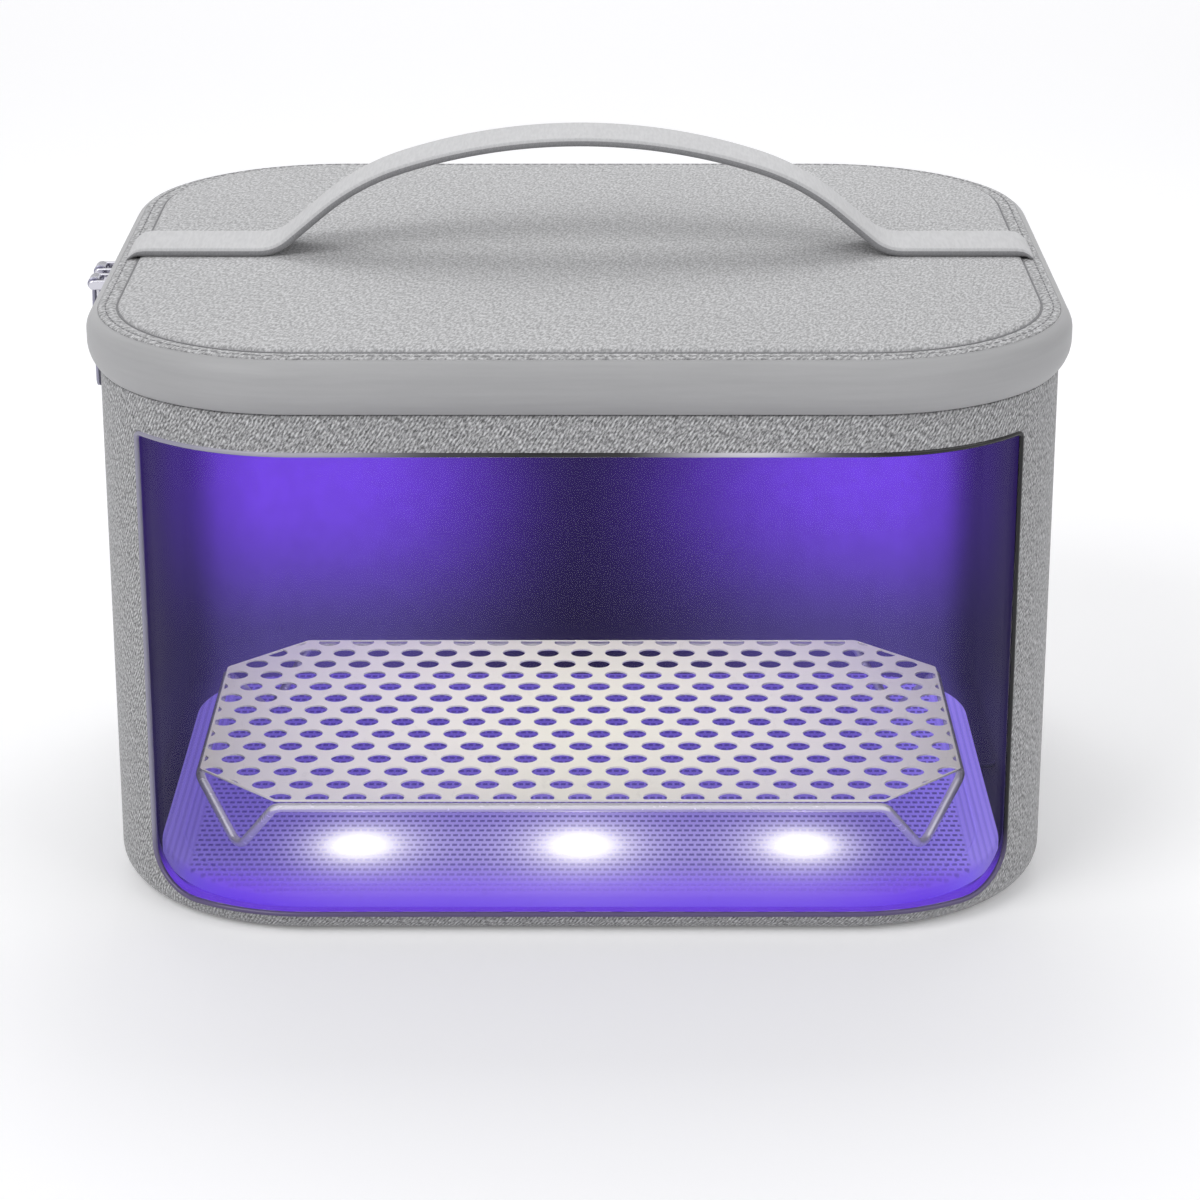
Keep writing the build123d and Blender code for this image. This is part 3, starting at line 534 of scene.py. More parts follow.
@dataclass(frozen=True)
class Metal(Finish):
    """Plated or painted metal with faint handling marks."""

    metallic: float = 1.0
    coat: float = 0.0
    wear: float = 0.08
    grain: float = 0.0

    def shade(self, g: Graph, shader: Any) -> None:
        """Adds the marks to the colour and the gloss, and the grain of a paint."""
        marks = add_group(g, handling_marks)
        g.feed(shader, {
            "Roughness": g.span(marks, 0.15, 0.85, self.roughness, self.roughness + self.wear),
            "Base Color": g.times(self.tone(), g.span(marks, 0.1, 0.9, 1.0, 1.0 - self.wear)),
            "Metallic": self.metallic, "Coat Weight": self.coat})
        if self.grain:
            g.feed(shader, {"Normal": g.relief(g.noise(g.place(), 900.0), self.grain, 0.4)})


@dataclass(frozen=True)
class Moulded(Finish):
    """Moulded plastic with a spark-eroded texture."""

    texture: float = 0.00005
    fineness: float = 2200.0

    def shade(self, g: Graph, shader: Any) -> None:
        """Adds the fine texture and rub marks."""
        spark = g.noise(g.place(), self.fineness)
        rubbed = max(0.05, self.roughness - 0.12)
        g.feed(shader, {
            "Roughness": g.span(add_group(g, handling_marks), 0.1, 0.9, self.roughness, rubbed),
            "Base Color": g.times(self.tone(), g.span(spark, 0.3, 0.7, 0.96, 1.04)),
            "Normal": g.relief(spark, self.texture, 0.5)})


@dataclass(frozen=True)
class Laminate(Finish):
    """Circuit board laminate with tracks under its solder mask."""

    def shade(self, g: Graph, shader: Any) -> None:
        """Adds the maze of copper tracks."""
        tracks = g.node("ShaderNodeTexBrick", {
            "Vector": g.place(), "Scale": 160.0, "Mortar Size": 0.06, "Color1": self.tone(),
            "Color2": self.tone(0.9), "Mortar": self.tone(1.5)}).outputs
        g.feed(shader, {"Base Color": tracks["Color"], "Normal": g.relief(tracks["Fac"], 0.00003, 0.5)})


@dataclass(frozen=True)
class LampGlass(Finish):
    """Quartz lens that glows, bright in the middle and violet at its rim."""

    light: Colour = (250, 246, 255)
    glow: float = 3.0

    def shade(self, g: Graph, shader: Any) -> None:
        """Adds the glow."""
        core = g.span(g.split(g.place())[2], 0.0082, 0.0100)
        g.feed(shader, {"Emission Color": g.blend(core, paint(self.colour), paint(self.light)),
                        "Emission Strength": self.glow})


@dataclass(frozen=True)
class FloorPaint(Finish):
    """Pale studio floor, lifted a little where the camera sees it."""

    lift: float = 0.17

    def shade(self, g: Graph, shader: Any) -> None:
        """Adds the lift, which lights nothing else."""
        glow = g.blend(seen(g), BLACK, (self.lift, self.lift, self.lift, 1.0))
        g.feed(shader, {"Specular IOR Level": 0.1, "Emission Color": glow, "Emission Strength": 1.0})


CLOTH = MelangeCloth("shell_twill", "shell_fabric", (160, 160, 161), 0.9, fineness=1750.0, stretch=0.40,
                     slope=0.62, contrast=0.46, yarn=0.0013, rib=0.42)
BORDER = MelangeCloth("lid_edge_twill", "shell_fabric", (166, 166, 167), 0.9, fineness=1100.0,
                      contrast=0.36, twill=0.5, rib=0.2)
PANEL = MelangeCloth("lid_melange", "panel_fabric", (179, 179, 180), 0.92, contrast=0.22, twill=0.7,
                     rib=0.08, yarn=0.0013, fineness=1250.0, stretch=0.42, slope=0.25, strength=0.35)
STRAP = MelangeCloth("strap_webbing", "strap_fabric", (203, 203, 204), 0.85, fineness=900.0,
                     stretch=0.15, slope=0.0, contrast=0.03, yarn=0.0011, twill=0.0, rib=0.04,
                     depth=0.00006, strength=0.3)
# Darker copy of the strap's webbing for its lower edges and underside: painted shade.
STRAP_UNDERSIDE_SHADE = MelangeCloth("strap_underside_shade", "strap_fabric", (148, 148, 150), 0.85, contrast=0.06,
                          yarn=0.0007, twill=0.1, rib=0.1, depth=0.00008)
HINGE = MelangeCloth("hinge_cloth", "hinge_fabric", (104, 104, 106), 0.9, contrast=0.12, twill=0.1,
                     yarn=0.0007)
BAND = CoatedCloth("band_coat", "band_fabric", (171, 171, 172), 0.5)
PIPING = MelangeCloth("piping_cloth", "piping_cord", (122, 122, 124), 0.9, contrast=0.15, yarn=0.0006)
THREAD = MelangeCloth("thread", "panel_fabric", (132, 132, 134), 0.8, contrast=0.15, yarn=0.0003,
                      depth=0.00005)
TAPE = MelangeCloth("zip_tape", "zip_coil", (112, 112, 114), 0.9, contrast=0.12, yarn=0.0006, twill=0.3)
LINING = GlowLining("violet_lining", "lining_cloth", (30, 25, 52), 0.6)
LID_LINING = GlowLining("lid_lining_cloth", "lining_cloth", (60, 50, 104), 0.6, glow=0.3)
MAT = LampMesh("mat_mesh_lit", "mat_mesh", (30, 25, 52), 0.7)
BEAD = PolishedBead("window_bead", "bead", (190, 186, 214), 0.18)
PANE = ClearPane("window_sheet", "clear_pane", (250, 249, 255), 0.0)
CHROME = Metal("zip_chrome", "zip_chrome", (206, 205, 213), 0.10)
# Darker, bluer copy of the zip chrome for the pulls: painted reflection of the dark violet they mirror.
PULL_CHROME = Metal("zip_pull_chrome", "zip_chrome", (148, 147, 164), 0.12)
STEEL = Metal("bright_steel", "fitting_steel", (190, 190, 194), 0.25)
RACK_PAINT = Metal("rack_white", "rack_paint", (247, 246, 232), 0.32, metallic=0.0, coat=0.3,
                   wear=0.05, grain=0.00003)
WIRE_METAL = Metal("rack_wire_plating", "rack_paint", (238, 237, 240), 0.26, metallic=0.45, wear=0.06)
COIL = Moulded("zip_coil_nylon", "zip_coil", (128, 128, 130), 0.4, texture=0.00002)
UNIT = Moulded("unit_plastic", "unit_plastic", (92, 92, 95), 0.55)
BUTTON = Moulded("button_plastic", "button_plastic", (214, 214, 216), 0.3, texture=0.00001)
MARK = Moulded("button_mark", "unit_plastic", (60, 60, 64), 0.5)
SWITCH = Moulded("switch_plastic", "switch_plastic", (32, 32, 33), 0.5)
STIFFENER = Moulded("stiffener_board", "stiffener", (120, 120, 122), 0.8, texture=0.0001)
# The lead's sheath takes the violet tone of the lit lining round it: painted light.
SHEATH = Moulded("lead_sheath", "lead_sleeve", (58, 50, 96), 0.6)
LAMINATE = Laminate("board_laminate", "board_laminate", (26, 96, 58), 0.4)
LENS = LampGlass("lamp_lens", "lamp_lens", (176, 140, 255), 0.1)
INDICATOR = LampGlass("indicator_lens", "indicator", (200, 210, 255), 0.2, glow=0.3)
REED_GLASS = Metal("reed_glass", "indicator", (196, 214, 196), 0.08, metallic=0.0, coat=0.5)
FLOOR = FloorPaint("studio_floor", "shell_fabric", (248, 248, 249), 0.9)


@cache
def material_of(finish: Finish) -> bpy.types.Material:
    """The material of a finish, made on its first use."""
    return finish.build()


# ---- meshes


def link(name: str, mesh: bpy.types.Mesh) -> Piece:
    """Puts a mesh in the scene as an object at the origin."""
    piece = bpy.data.objects.new(name, mesh)
    bpy.context.scene.collection.objects.link(piece)
    return piece


@contextmanager
def editing(mesh: bpy.types.Mesh) -> Iterator[bmesh.types.BMesh]:
    """Opens a mesh for editing and puts the result back.

    Args:
        mesh: Mesh to edit.

    Yields:
        The open mesh.
    """
    made = bmesh.new()
    made.from_mesh(mesh)
    yield made
    made.to_mesh(mesh)
    made.free()


def runs(points: Any, closed: bool = False) -> np.ndarray:
    """Length along a path at each point, with the whole length added where it closes on itself."""
    path = np.vstack([points, points[:1]]) if closed else np.asarray(points)
    return np.concatenate([[0.0], np.cumsum(np.linalg.norm(np.diff(path, axis=0), axis=1))])


def grid(
    name: str, rows: np.ndarray, across: np.ndarray, up: np.ndarray, wrap: bool = True, caps: bool = False
) -> Piece:
    """Builds a mesh from rows of points, with a UV map in metres.

    Args:
        name: Name of the piece.
        rows: Points as rows, columns and coordinates.
        across: Run along the columns, with one more value when the rows close on themselves.
        up: Run along the rows.
        wrap: True where each row closes on itself.
        caps: True to close the first and last rows with a face.

    Returns:
        The new object.
    """
    count, columns = rows.shape[:2]
    faces, loops = [], []
    for r in range(count - 1):
        for c in range(columns if wrap else columns - 1):
            here, beside = r * columns + c, r * columns + (c + 1) % columns
            faces.append((here, beside, beside + columns, here + columns))
            loops += [(across[i], up[j]) for i, j in ((c, r), (c + 1, r), (c + 1, r + 1), (c, r + 1))]
    if caps:
        faces += [tuple(reversed(range(columns))), tuple(range((count - 1) * columns, count * columns))]
        loops += [(0.0, 0.0)] * columns * 2
    mesh = bpy.data.meshes.new(name)
    mesh.from_pydata(rows.reshape(-1, 3).tolist(), [], faces)
    mesh.uv_layers.new(name="cloth").data.foreach_set("uv", np.array(loops, dtype=np.float32).ravel())
    mesh.shade_smooth()
    with editing(mesh) as made:
        bmesh.ops.remove_doubles(made, verts=made.verts, dist=2e-6)
    return link(name, mesh)


def settle(piece: Piece) -> Piece:
    """Applies a piece's modifiers and leaves a plain mesh.

    Args:
        piece: Mesh object with its modifiers set.

    Returns:
        The same object, with none left.
    """
    bpy.context.view_layer.update()
    depsgraph = bpy.context.evaluated_depsgraph_get()
    mesh = bpy.data.meshes.new_from_object(piece.evaluated_get(depsgraph), depsgraph=depsgraph)
    piece.modifiers.clear()
    mesh.name = piece.name
    piece.data = mesh
    return piece


def carve(piece: Piece, cutter: Piece, cut: Cut = Cut.AWAY, keep: bool = False) -> Piece:
    """Cuts a piece with another one.

    Args:
        piece: What is cut.
        cutter: The closed tool.
        cut: What is left of the piece.
        keep: True to keep the tool for another cut.

    Returns:
        The cut piece.
    """
    tool = piece.modifiers.new("cut", "BOOLEAN")
    tool.object, tool.operation, tool.solver = cutter, cut.value, "EXACT"
    settle(piece).data.set_sharp_from_angle(angle=math.radians(35))
    if not keep:
        bpy.data.objects.remove(cutter)
    return piece


def ease_edges(piece: Piece, width: float, segments: int = 2, angle: float = 35.0) -> Piece:
    """Rounds a piece's sharp edges.

    Args:
        piece: Object to round.
        width: Width of the rounding.
        segments: Number of faces across it.
        angle: Edges sharper than this, in degrees, are rounded.

    Returns:
        The rounded piece.
    """
    tool = piece.modifiers.new("ease", "BEVEL")
    tool.width, tool.segments, tool.harden_normals = width, segments, True
    tool.limit_method, tool.angle_limit = "ANGLE", math.radians(angle)
    return settle(piece)


def prism(name: str, outline: Profile, place: Matrix, low: float, high: float) -> Piece:
    """Builds a straight solid from an outline.

    Args:
        name: Name of the piece.
        outline: Points of the outline, anticlockwise.
        place: Matrix whose X and Y carry the outline and whose Z is the solid's direction.
        low: Start along the direction.
        high: End along the direction.

    Returns:
        The new object.
    """
    mesh = bpy.data.meshes.new(name)
    with editing(mesh) as made:
        bottom, top = ([made.verts.new(place @ Vector((u, v, w))) for u, v in outline] for w in (low, high))
        made.faces.new(list(reversed(bottom)))
        made.faces.new(top)
        for i, corner in enumerate(bottom):
            j = (i + 1) % len(outline)
            made.faces.new((corner, bottom[j], top[j], top[i]))
        bmesh.ops.recalc_face_normals(made, faces=made.faces)
    return link(name, mesh)


def join(name: str, parts: list[Piece]) -> Piece:
    """Joins plain meshes into one piece.

    Args:
        name: Name of the joined piece.
        parts: Objects to join, which are used up.

    Returns:
        The joined piece, without materials.
    """
    made = bmesh.new()
    for part in parts:
        made.from_mesh(part.data)
        bpy.data.objects.remove(part)
    mesh = bpy.data.meshes.new(name)
    made.to_mesh(mesh)
    made.free()
    return link(name, mesh)


def face_out(piece: Piece, close: bool = False) -> Piece:
    """Turns a closed piece's faces outwards.

    Args:
        piece: Object to turn.
        close: True to merge the piece's doubles and fill its open ends first.

    Returns:
        The piece.
    """
    with editing(piece.data) as made:
        if close:
            bmesh.ops.remove_doubles(made, verts=made.verts, dist=1e-6)
            bmesh.ops.holes_fill(made, edges=[e for e in made.edges if e.is_boundary], sides=0)
        bmesh.ops.recalc_face_normals(made, faces=made.faces)
    return piece


def flip_uv(piece: Piece) -> Piece:
    """Swaps the two directions of a piece's UV map and returns the piece."""
    layer = piece.data.uv_layers[0].data
    values = np.empty(len(layer) * 2, dtype=np.float32)
    layer.foreach_get("uv", values)
    layer.foreach_set("uv", values.reshape(-1, 2)[:, ::-1].ravel())
    return piece


def lay_flat(piece: Piece, level: float = 0.6) -> Piece:
    """Lays the UV map of a piece's level faces out as their plan, in metres, as a flat cloth lies.

    Args:
        piece: Object with a UV map.
        level: Least upward share of a level face's normal.

    Returns:
        The piece.
    """
    mesh = piece.data
    layer = mesh.uv_layers[0].data
    for polygon in mesh.polygons:
        if abs(polygon.normal.z) > level:
            for loop in polygon.loop_indices:
                layer[loop].uv = mesh.vertices[mesh.loops[loop].vertex_index].co.xy
    return piece


def between(xs: np.ndarray, ys: np.ndarray, values: np.ndarray, x: np.ndarray, y: np.ndarray) -> np.ndarray:
    """Values between the crossings of an even net.

    Args:
        xs: The net's lines across.
        ys: The net's lines along.
        values: Value at each crossing, a row for each line along.
        x: Places across.
        y: Places along.

    Returns:
        The value at each place.
    """
    u = np.clip((x - xs[0]) / (xs[1] - xs[0]), 0, len(xs) - 1.001)
    v = np.clip((y - ys[0]) / (ys[1] - ys[0]), 0, len(ys) - 1.001)
    i, j = u.astype(int), v.astype(int)
    u, v = u - i, v - j
    near, far = (values[k, i] * (1 - u) + values[k, i + 1] * u for k in (j, j + 1))
    return near * (1 - v) + far * v


def arc(centre: Point, radius: float, start: float, end: float, steps: int) -> Profile:
    """Points of an arc, with both ends, from one angle in degrees to another."""
    turns = np.linspace(math.radians(start), math.radians(end), steps + 1)
    return [(centre[0] + radius * math.cos(t), centre[1] + radius * math.sin(t)) for t in turns]


def straight(start: Point, end: Point, step: float) -> Profile:
    """Points of a straight run, with both ends, no further apart than a step."""
    count = max(1, math.ceil(math.dist(start, end) / step))
    return [tuple(a + (b - a) * i / count for a, b in zip(start, end)) for i in range(count + 1)]


def rectangle(left: float, right: float, low: float, high: float) -> Profile:
    """Corner points of an upright rectangle, anticlockwise."""
    return [(left, low), (right, low), (right, high), (left, high)]


def rounded(points: Profile, radii: list[float], steps: int = 6) -> Profile:
    """Outline of straight runs with rounded corners.

    Args:
        points: Corner points of the closed outline, in order.
        radii: Radius at each corner.
        steps: Number of runs in each rounding.

    Returns:
        The points of the rounded outline.
    """
    out: Profile = []
    for i, radius in enumerate(radii):
        here, before, after = (Vector(points[k % len(points)]) for k in (i, i - 1, i + 1))
        if radius <= 0:
            out.append((here.x, here.y))
            continue
        a, b = (before - here).normalized(), (after - here).normalized()
        half = a.angle(b) / 2
        reach = radius / math.tan(half)
        centre = here + (a + b).normalized() * radius / math.sin(half)
        start, end = here + a * reach - centre, here + b * reach - centre
        sweep = start.angle_signed(end)
        for k in range(steps + 1):
            turn = -sweep * k / steps
            out.append((centre.x + start.x * math.cos(turn) - start.y * math.sin(turn),
                        centre.y + start.x * math.sin(turn) + start.y * math.cos(turn)))
    return out


@dataclass(frozen=True)
class Plan:
    """Rounded-rectangle plan that the walls, the lid, the zip and the mat follow."""

    width: float = 0.300
    front: float = -0.128
    back: float = 0.128
    front_corner: float = 0.065
    back_corner: float = 0.065
    corner_steps: int = 26
    run_step: float = 0.005

    @property
    def tight(self) -> float:
        """Largest inset at which the corners keep their shape."""
        return min(self.front_corner, self.back_corner) * 0.92

    def outline(self) -> tuple[np.ndarray, np.ndarray, np.ndarray]:
        """Walks once round the plan from the middle of the back, to the left.

        Returns:
            Points, outward normals and run lengths, the last with the whole length added.
        """
        half, front, back, fc, bc = self.width / 2, self.front, self.back, self.front_corner, self.back_corner
        # Each side's ends and normal, and the centre, radius and first angle of the corner after it.
        sides = [((0, back), (-half + bc, back), (0, 1), (-half + bc, back - bc), bc, 90),
                 ((-half, back - bc), (-half, front + fc), (-1, 0), (-half + fc, front + fc), fc, 180),
                 ((-half + fc, front), (half - fc, front), (0, -1), (half - fc, front + fc), fc, 270),
                 ((half, front + fc), (half, back - bc), (1, 0), (half - bc, back - bc), bc, 0)]
        points, normals = [], []
        for start, end, normal, centre, radius, angle in sides:
            side = straight(start, end, self.run_step)[:-1]
            corner = arc(centre, radius, angle, angle + 90, self.corner_steps)[:-1]
            points += side + corner
            normals += [normal] * len(side)
            normals += [((x - centre[0]) / radius, (y - centre[1]) / radius) for x, y in corner]
        last = straight((half - bc, back), (0, back), self.run_step)[:-1]
        places = np.array(points + last)
        return places, np.array(normals + [(0, 1)] * len(last)), runs(places, True)

    def rings(self, profile: Profile) -> tuple[np.ndarray, np.ndarray, np.ndarray]:
        """Rows of points for a profile of insets and heights.

        An inset past the tightest corner closes in on a line along the middle of the plan, at 1.0
        beyond that corner.

        Args:
            profile: Inset and height of each row.

        Returns:
            The rows, and the run lengths across and up for a UV map.
        """
        places, normals, across = self.outline()
        reach = max(self.width / 2 - (self.back - self.front) / 2, 0.01)
        middle = np.full(len(places), (self.front + self.back) / 2)
        spine = np.stack([np.clip(places[:, 0], -reach, reach), middle], axis=1)
        rows = []
        for inset, height in profile:
            ring = places - normals * min(inset, self.tight)
            if inset > self.tight:
                share = min(1.0, (inset - self.tight) / (1.0 - self.tight))
                ring = ring * (1 - share) + spine * share
            rows.append(np.column_stack([ring, np.full(len(ring), height)]))
        stacked = np.array(rows)
        steps = np.linalg.norm(np.diff(stacked, axis=0), axis=2).mean(axis=1)
        return stacked, across, np.concatenate([[0.0], np.cumsum(steps)])

    def shell(self, name: str, profile: Profile) -> Piece:
        """Builds a closed shell round the plan from a profile of insets and heights."""
        return grid(name, *self.rings(profile))

    def to_middle(self, inset: float, height: float, rows: int = 9) -> Profile:
        """Profile rows from an inset to the middle of the plan at one height."""
        inner = [self.tight + (1.0 - self.tight) * k / 6 for k in range(1, 7)]
        return [(i, height) for i in [*np.linspace(inset, self.tight, rows), *inner]]

    def loop(self, inset: float, height: float) -> np.ndarray:
        """Closed path round the plan at an inset and a height."""
        places, normals, _ = self.outline()
        return np.column_stack([places - normals * inset, np.full(len(places), height)])

    def wall_y(self, x: float, inset: float = 0.0) -> float:
        """Y of the front wall at an x, moved in by an inset."""
        beyond = abs(x) - (self.width / 2 - self.front_corner)
        if beyond <= 0:
            return self.front + inset
        radius = self.front_corner - inset
        return self.front + self.front_corner - math.sqrt(max(radius**2 - beyond**2, 0.0))

    def open_path(self, inset: float, gap: float, step: float) -> tuple[np.ndarray, np.ndarray]:
        """Walks round both sides and the front, with a gap in the middle of the back.

        Args:
            inset: Distance inwards from the walls.
            gap: Half the width of the gap.
            step: Distance between points.

        Returns:
            The points and their outward normals.
        """
        places, normals, across = self.outline()
        total = across[-1]
        stops = np.linspace(gap, total - gap, int((total - 2 * gap) / step) + 1)
        path, out = (
            np.stack([np.interp(stops, across, np.append(line[:, k], line[0, k])) for k in (0, 1)], axis=1)
            for line in (places - normals * inset, normals)
        )
        return path, out / np.linalg.norm(out, axis=1, keepdims=True)


BAG_PLAN = Plan()


# ---- geometry node trees


@group("bar_along_path", GEOMETRY,
       {"Path": "NodeSocketGeometry", "Radius": 0.001, "Sides": 12, "Bend steps": 6,
        "Finish": "NodeSocketMaterial"},
       "Geometry", "NodeSocketGeometry")
def bar_tree(g: Graph, takes: Any) -> Socket:
    """Rounds a path's corners and sweeps a round bar along it."""
    curve = g.out("GeometryNodeMeshToCurve", {"Mesh": takes["Path"]})
    soft = g.out("GeometryNodeFilletCurve", {
        "Curve": curve, "Count": takes["Bend steps"], "Radius": g.attribute("bend", "FLOAT"),
        "Limit Radius": True}, mode="POLY")
    ring = g.out("GeometryNodeCurvePrimitiveCircle", {"Resolution": takes["Sides"], "Radius": takes["Radius"]})
    swept = g.out("GeometryNodeCurveToMesh", {"Curve": soft, "Profile Curve": ring, "Fill Caps": True})
    return g.finished(g.out("GeometryNodeSetShadeSmooth", {"Geometry": swept}), takes["Finish"])


@group("rods_along_path", GEOMETRY,
       {"Path": "NodeSocketGeometry", "Pitch": 0.003, "Length": 0.002, "Radius": 0.0003, "Sides": 6,
        "Flatness": (1.0, 1.0, 1.0), "Finish": "NodeSocketMaterial"},
       "Geometry", "NodeSocketGeometry")
def rod_tree(g: Graph, takes: Any) -> Socket:
    """Sets short rods along a path, turned to it and to the surface under it: stitches and zip teeth."""
    curve = g.out("GeometryNodeMeshToCurve", {"Mesh": takes["Path"]})
    even = g.out("GeometryNodeResampleCurve", {"Curve": curve, "Length": takes["Pitch"]}, mode="LENGTH")
    rod = g.out("GeometryNodeMeshCylinder", {
        "Vertices": takes["Sides"], "Radius": takes["Radius"], "Depth": takes["Length"]},
        fill_type="TRIANGLE_FAN")
    lying = g.out("GeometryNodeTransform", {"Geometry": rod, "Rotation": (0.0, math.pi / 2, 0.0)})
    flat = g.out("GeometryNodeTransform", {"Geometry": lying, "Scale": takes["Flatness"]})
    heading, facing = (g.attribute(name, "FLOAT_VECTOR") for name in ("heading", "facing"))
    turn = g.out("FunctionNodeAxesToRotation", {0: heading, 1: facing}, primary_axis="X", secondary_axis="Z")
    placed = g.out("GeometryNodeInstanceOnPoints", {"Points": even, "Instance": flat, "Rotation": turn})
    real = g.out("GeometryNodeRealizeInstances", {"Geometry": placed})
    return g.finished(g.out("GeometryNodeSetShadeSmooth", {"Geometry": real}), takes["Finish"])


@group("perforated_sheet", GEOMETRY,
       {"Sheet": "NodeSocketGeometry", "Hole radius": 0.0033, "Sides": 20, "Thickness": 0.0012,
        "Place": (0.0, 0.0, 0.0), "Finish": "NodeSocketMaterial"},
       "Geometry", "NodeSocketGeometry")
def perforated_tree(g: Graph, takes: Any) -> Socket:
    """Cuts a round hole at each point of a sheet and gives the sheet its thickness."""
    edge = g.out("GeometryNodeMeshToCurve", {"Mesh": takes["Sheet"]})
    centres = g.out("GeometryNodeMeshToPoints", {
        "Mesh": takes["Sheet"], "Selection": g.attribute("hole", "BOOLEAN")})
    ring = g.out("GeometryNodeCurvePrimitiveCircle", {
        "Resolution": takes["Sides"], "Radius": takes["Hole radius"]})
    holes = g.out("GeometryNodeInstanceOnPoints", {"Points": centres, "Instance": ring})
    cut = g.out("GeometryNodeRealizeInstances", {"Geometry": holes})
    sheet = g.out("GeometryNodeFillCurve", {"Curve": g.together(edge, cut)}, mode="TRIANGLES")
    low = g.out("GeometryNodeTransform", {"Geometry": sheet, "Translation": takes["Place"]})
    top = g.out("GeometryNodeExtrudeMesh", {
        "Mesh": low, "Offset": UP, "Offset Scale": takes["Thickness"], "Individual": False}, mode="FACES")
    whole = g.together(top, g.out("GeometryNodeFlipFaces", {"Mesh": low}))
    sealed = g.out("GeometryNodeMergeByDistance", {"Geometry": whole, "Distance": 1e-6})
    return g.finished(sealed, takes["Finish"])


def grow(host: Piece, tree: bpy.types.NodeTree, finish: Finish, values: dict[str, Any]) -> Piece:
    """Runs a geometry tree on a host and leaves a plain mesh.

    Args:
        host: Object that holds the path or the points.
        tree: Geometry node tree.
        finish: Finish of what grows.
        values: Values by input name.

    Returns:
        The host, with the grown mesh.
    """
    tool = host.modifiers.new("grow", "NODES")
    tool.node_group = tree
    values = {**values, "Finish": material_of(finish)}
    for item in tree.interface.items_tree:
        if item.item_type == "SOCKET" and item.in_out == "INPUT" and item.name in values:
            tool[item.identifier] = values[item.name]
    return settle(host)


def path_host(
    name: str, points: Any, closed: bool = False, bends: list[float] | None = None, facing: Any = None,
    heading: np.ndarray | None = None,
) -> Piece:
    """Makes the edge path that a geometry tree follows.

    Args:
        name: Name of the object.
        points: Points of the path.
        closed: True where the path closes on itself.
        bends: Bend radius at each point.
        facing: Direction away from the surface, for the whole path or at each point.
        heading: Direction of each rod, the path's own when left out.

    Returns:
        The object with its edges and point attributes.
    """
    path = np.asarray(points, dtype=float)
    count = len(path)
    edges = [(i, i + 1) for i in range(count - 1)] + ([(count - 1, 0)] if closed else [])
    mesh = bpy.data.meshes.new(name)
    mesh.from_pydata(path.tolist(), edges, [])
    mesh.attributes.new("bend", "FLOAT", "POINT").data.foreach_set("value", bends or [0.0] * count)
    if facing is not None:
        if heading is None:
            ends = (path[-1:], path[:1]) if closed else (path[:1], path[-1:])
            heading = np.vstack([path[1:], ends[1]]) - np.vstack([ends[0], path[:-1]])
        for label, way in (("facing", np.broadcast_to(facing, path.shape)), ("heading", heading)):
            mesh.attributes.new(label, "FLOAT_VECTOR", "POINT").data.foreach_set("vector", way.ravel())
    return link(name, mesh)


def bar(
    name: str, points: Any, finish: Finish, radius: float, sides: int = 8, closed: bool = False,
    bends: list[float] | None = None,
) -> Piece:
    """Sweeps a round bar along a path.

    Args:
        name: Name of the piece.
        points: Points of the path.
        finish: Finish of the bar.
        radius: Radius of the bar.
        sides: Number of faces round it.
        closed: True where the path closes on itself.
        bends: Bend radius at each point, none when left out.

    Returns:
        The bar.
    """
    host = path_host(name, points, closed, bends)
    values = {"Radius": radius, "Sides": sides, "Bend steps": 8 if bends else 1}
    return grow(host, bar_tree(), finish, values)


@dataclass(frozen=True)
class Stitch:
    """Size of a row's stitches."""

    pitch: float
    length: float
    radius: float

    def sew(self, name: str, points: Any, facing: Any, finish: Finish, closed: bool = False) -> Piece:
        """Sews a row along a path.

        Args:
            name: Name of the row.
            points: Points of the path.
            facing: Direction away from the cloth, for the whole path or at each point.
            finish: Finish of the thread.
            closed: True where the path closes on itself.

        Returns:
            The row of stitches.
        """
        return grow(path_host(name, points, closed, facing=facing), rod_tree(), finish, {
            "Pitch": self.pitch, "Length": self.length, "Radius": self.radius, "Sides": 6,
            "Flatness": (1.0, 1.0, 0.7)})


# ---- handing pieces over


def dress(piece: Piece, finish: Finish, body: Body, *nodes: str) -> Piece:
    """Gives a piece its finish and its body, and the solids that it stands for.

    Args:
        piece: Finished mesh.
        finish: Finish of the whole piece.
        body: Body that it rides on.
        *nodes: Solids that it replaces.

    Returns:
        The piece.
    """
    piece.data.materials.clear()
    piece.data.materials.append(material_of(finish))
    piece.data.polygons.foreach_set("material_index", [0] * len(piece.data.polygons))
    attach(piece, body.value)
    if nodes:
        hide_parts(*nodes)
    LOG.info("%s: %d faces on %s", piece.name, len(piece.data.polygons), body.value)
    return piece


def refinish(finishes: dict[str, Finish]) -> None:
    """Gives solids that stay in view their finishes.

    Args:
        finishes: Finish of each solid by its name.
    """
    for node, finish in finishes.items():
        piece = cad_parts[node]
        piece.data.materials.clear()
        piece.data.materials.append(material_of(finish))
        for slot in piece.material_slots:
            slot.material = material_of(finish)
        LOG.info("%s: solid kept, finish %s", node, finish.name)


# ---- sub-assemblies

# Places for a prism: its direction is forwards, backwards or up.
FRONTAL = Matrix(((1, 0, 0, 0), (0, 0, -1, 0), (0, 1, 0, 0), (0, 0, 0, 1)))
UPRIGHT = Matrix(((1, 0, 0, 0), (0, 0, 1, 0), (0, 1, 0, 0), (0, 0, 0, 1)))
LEVEL = Matrix.Identity(4)
HAIR = 0.00003  # play that keeps two faces from lying in one plane


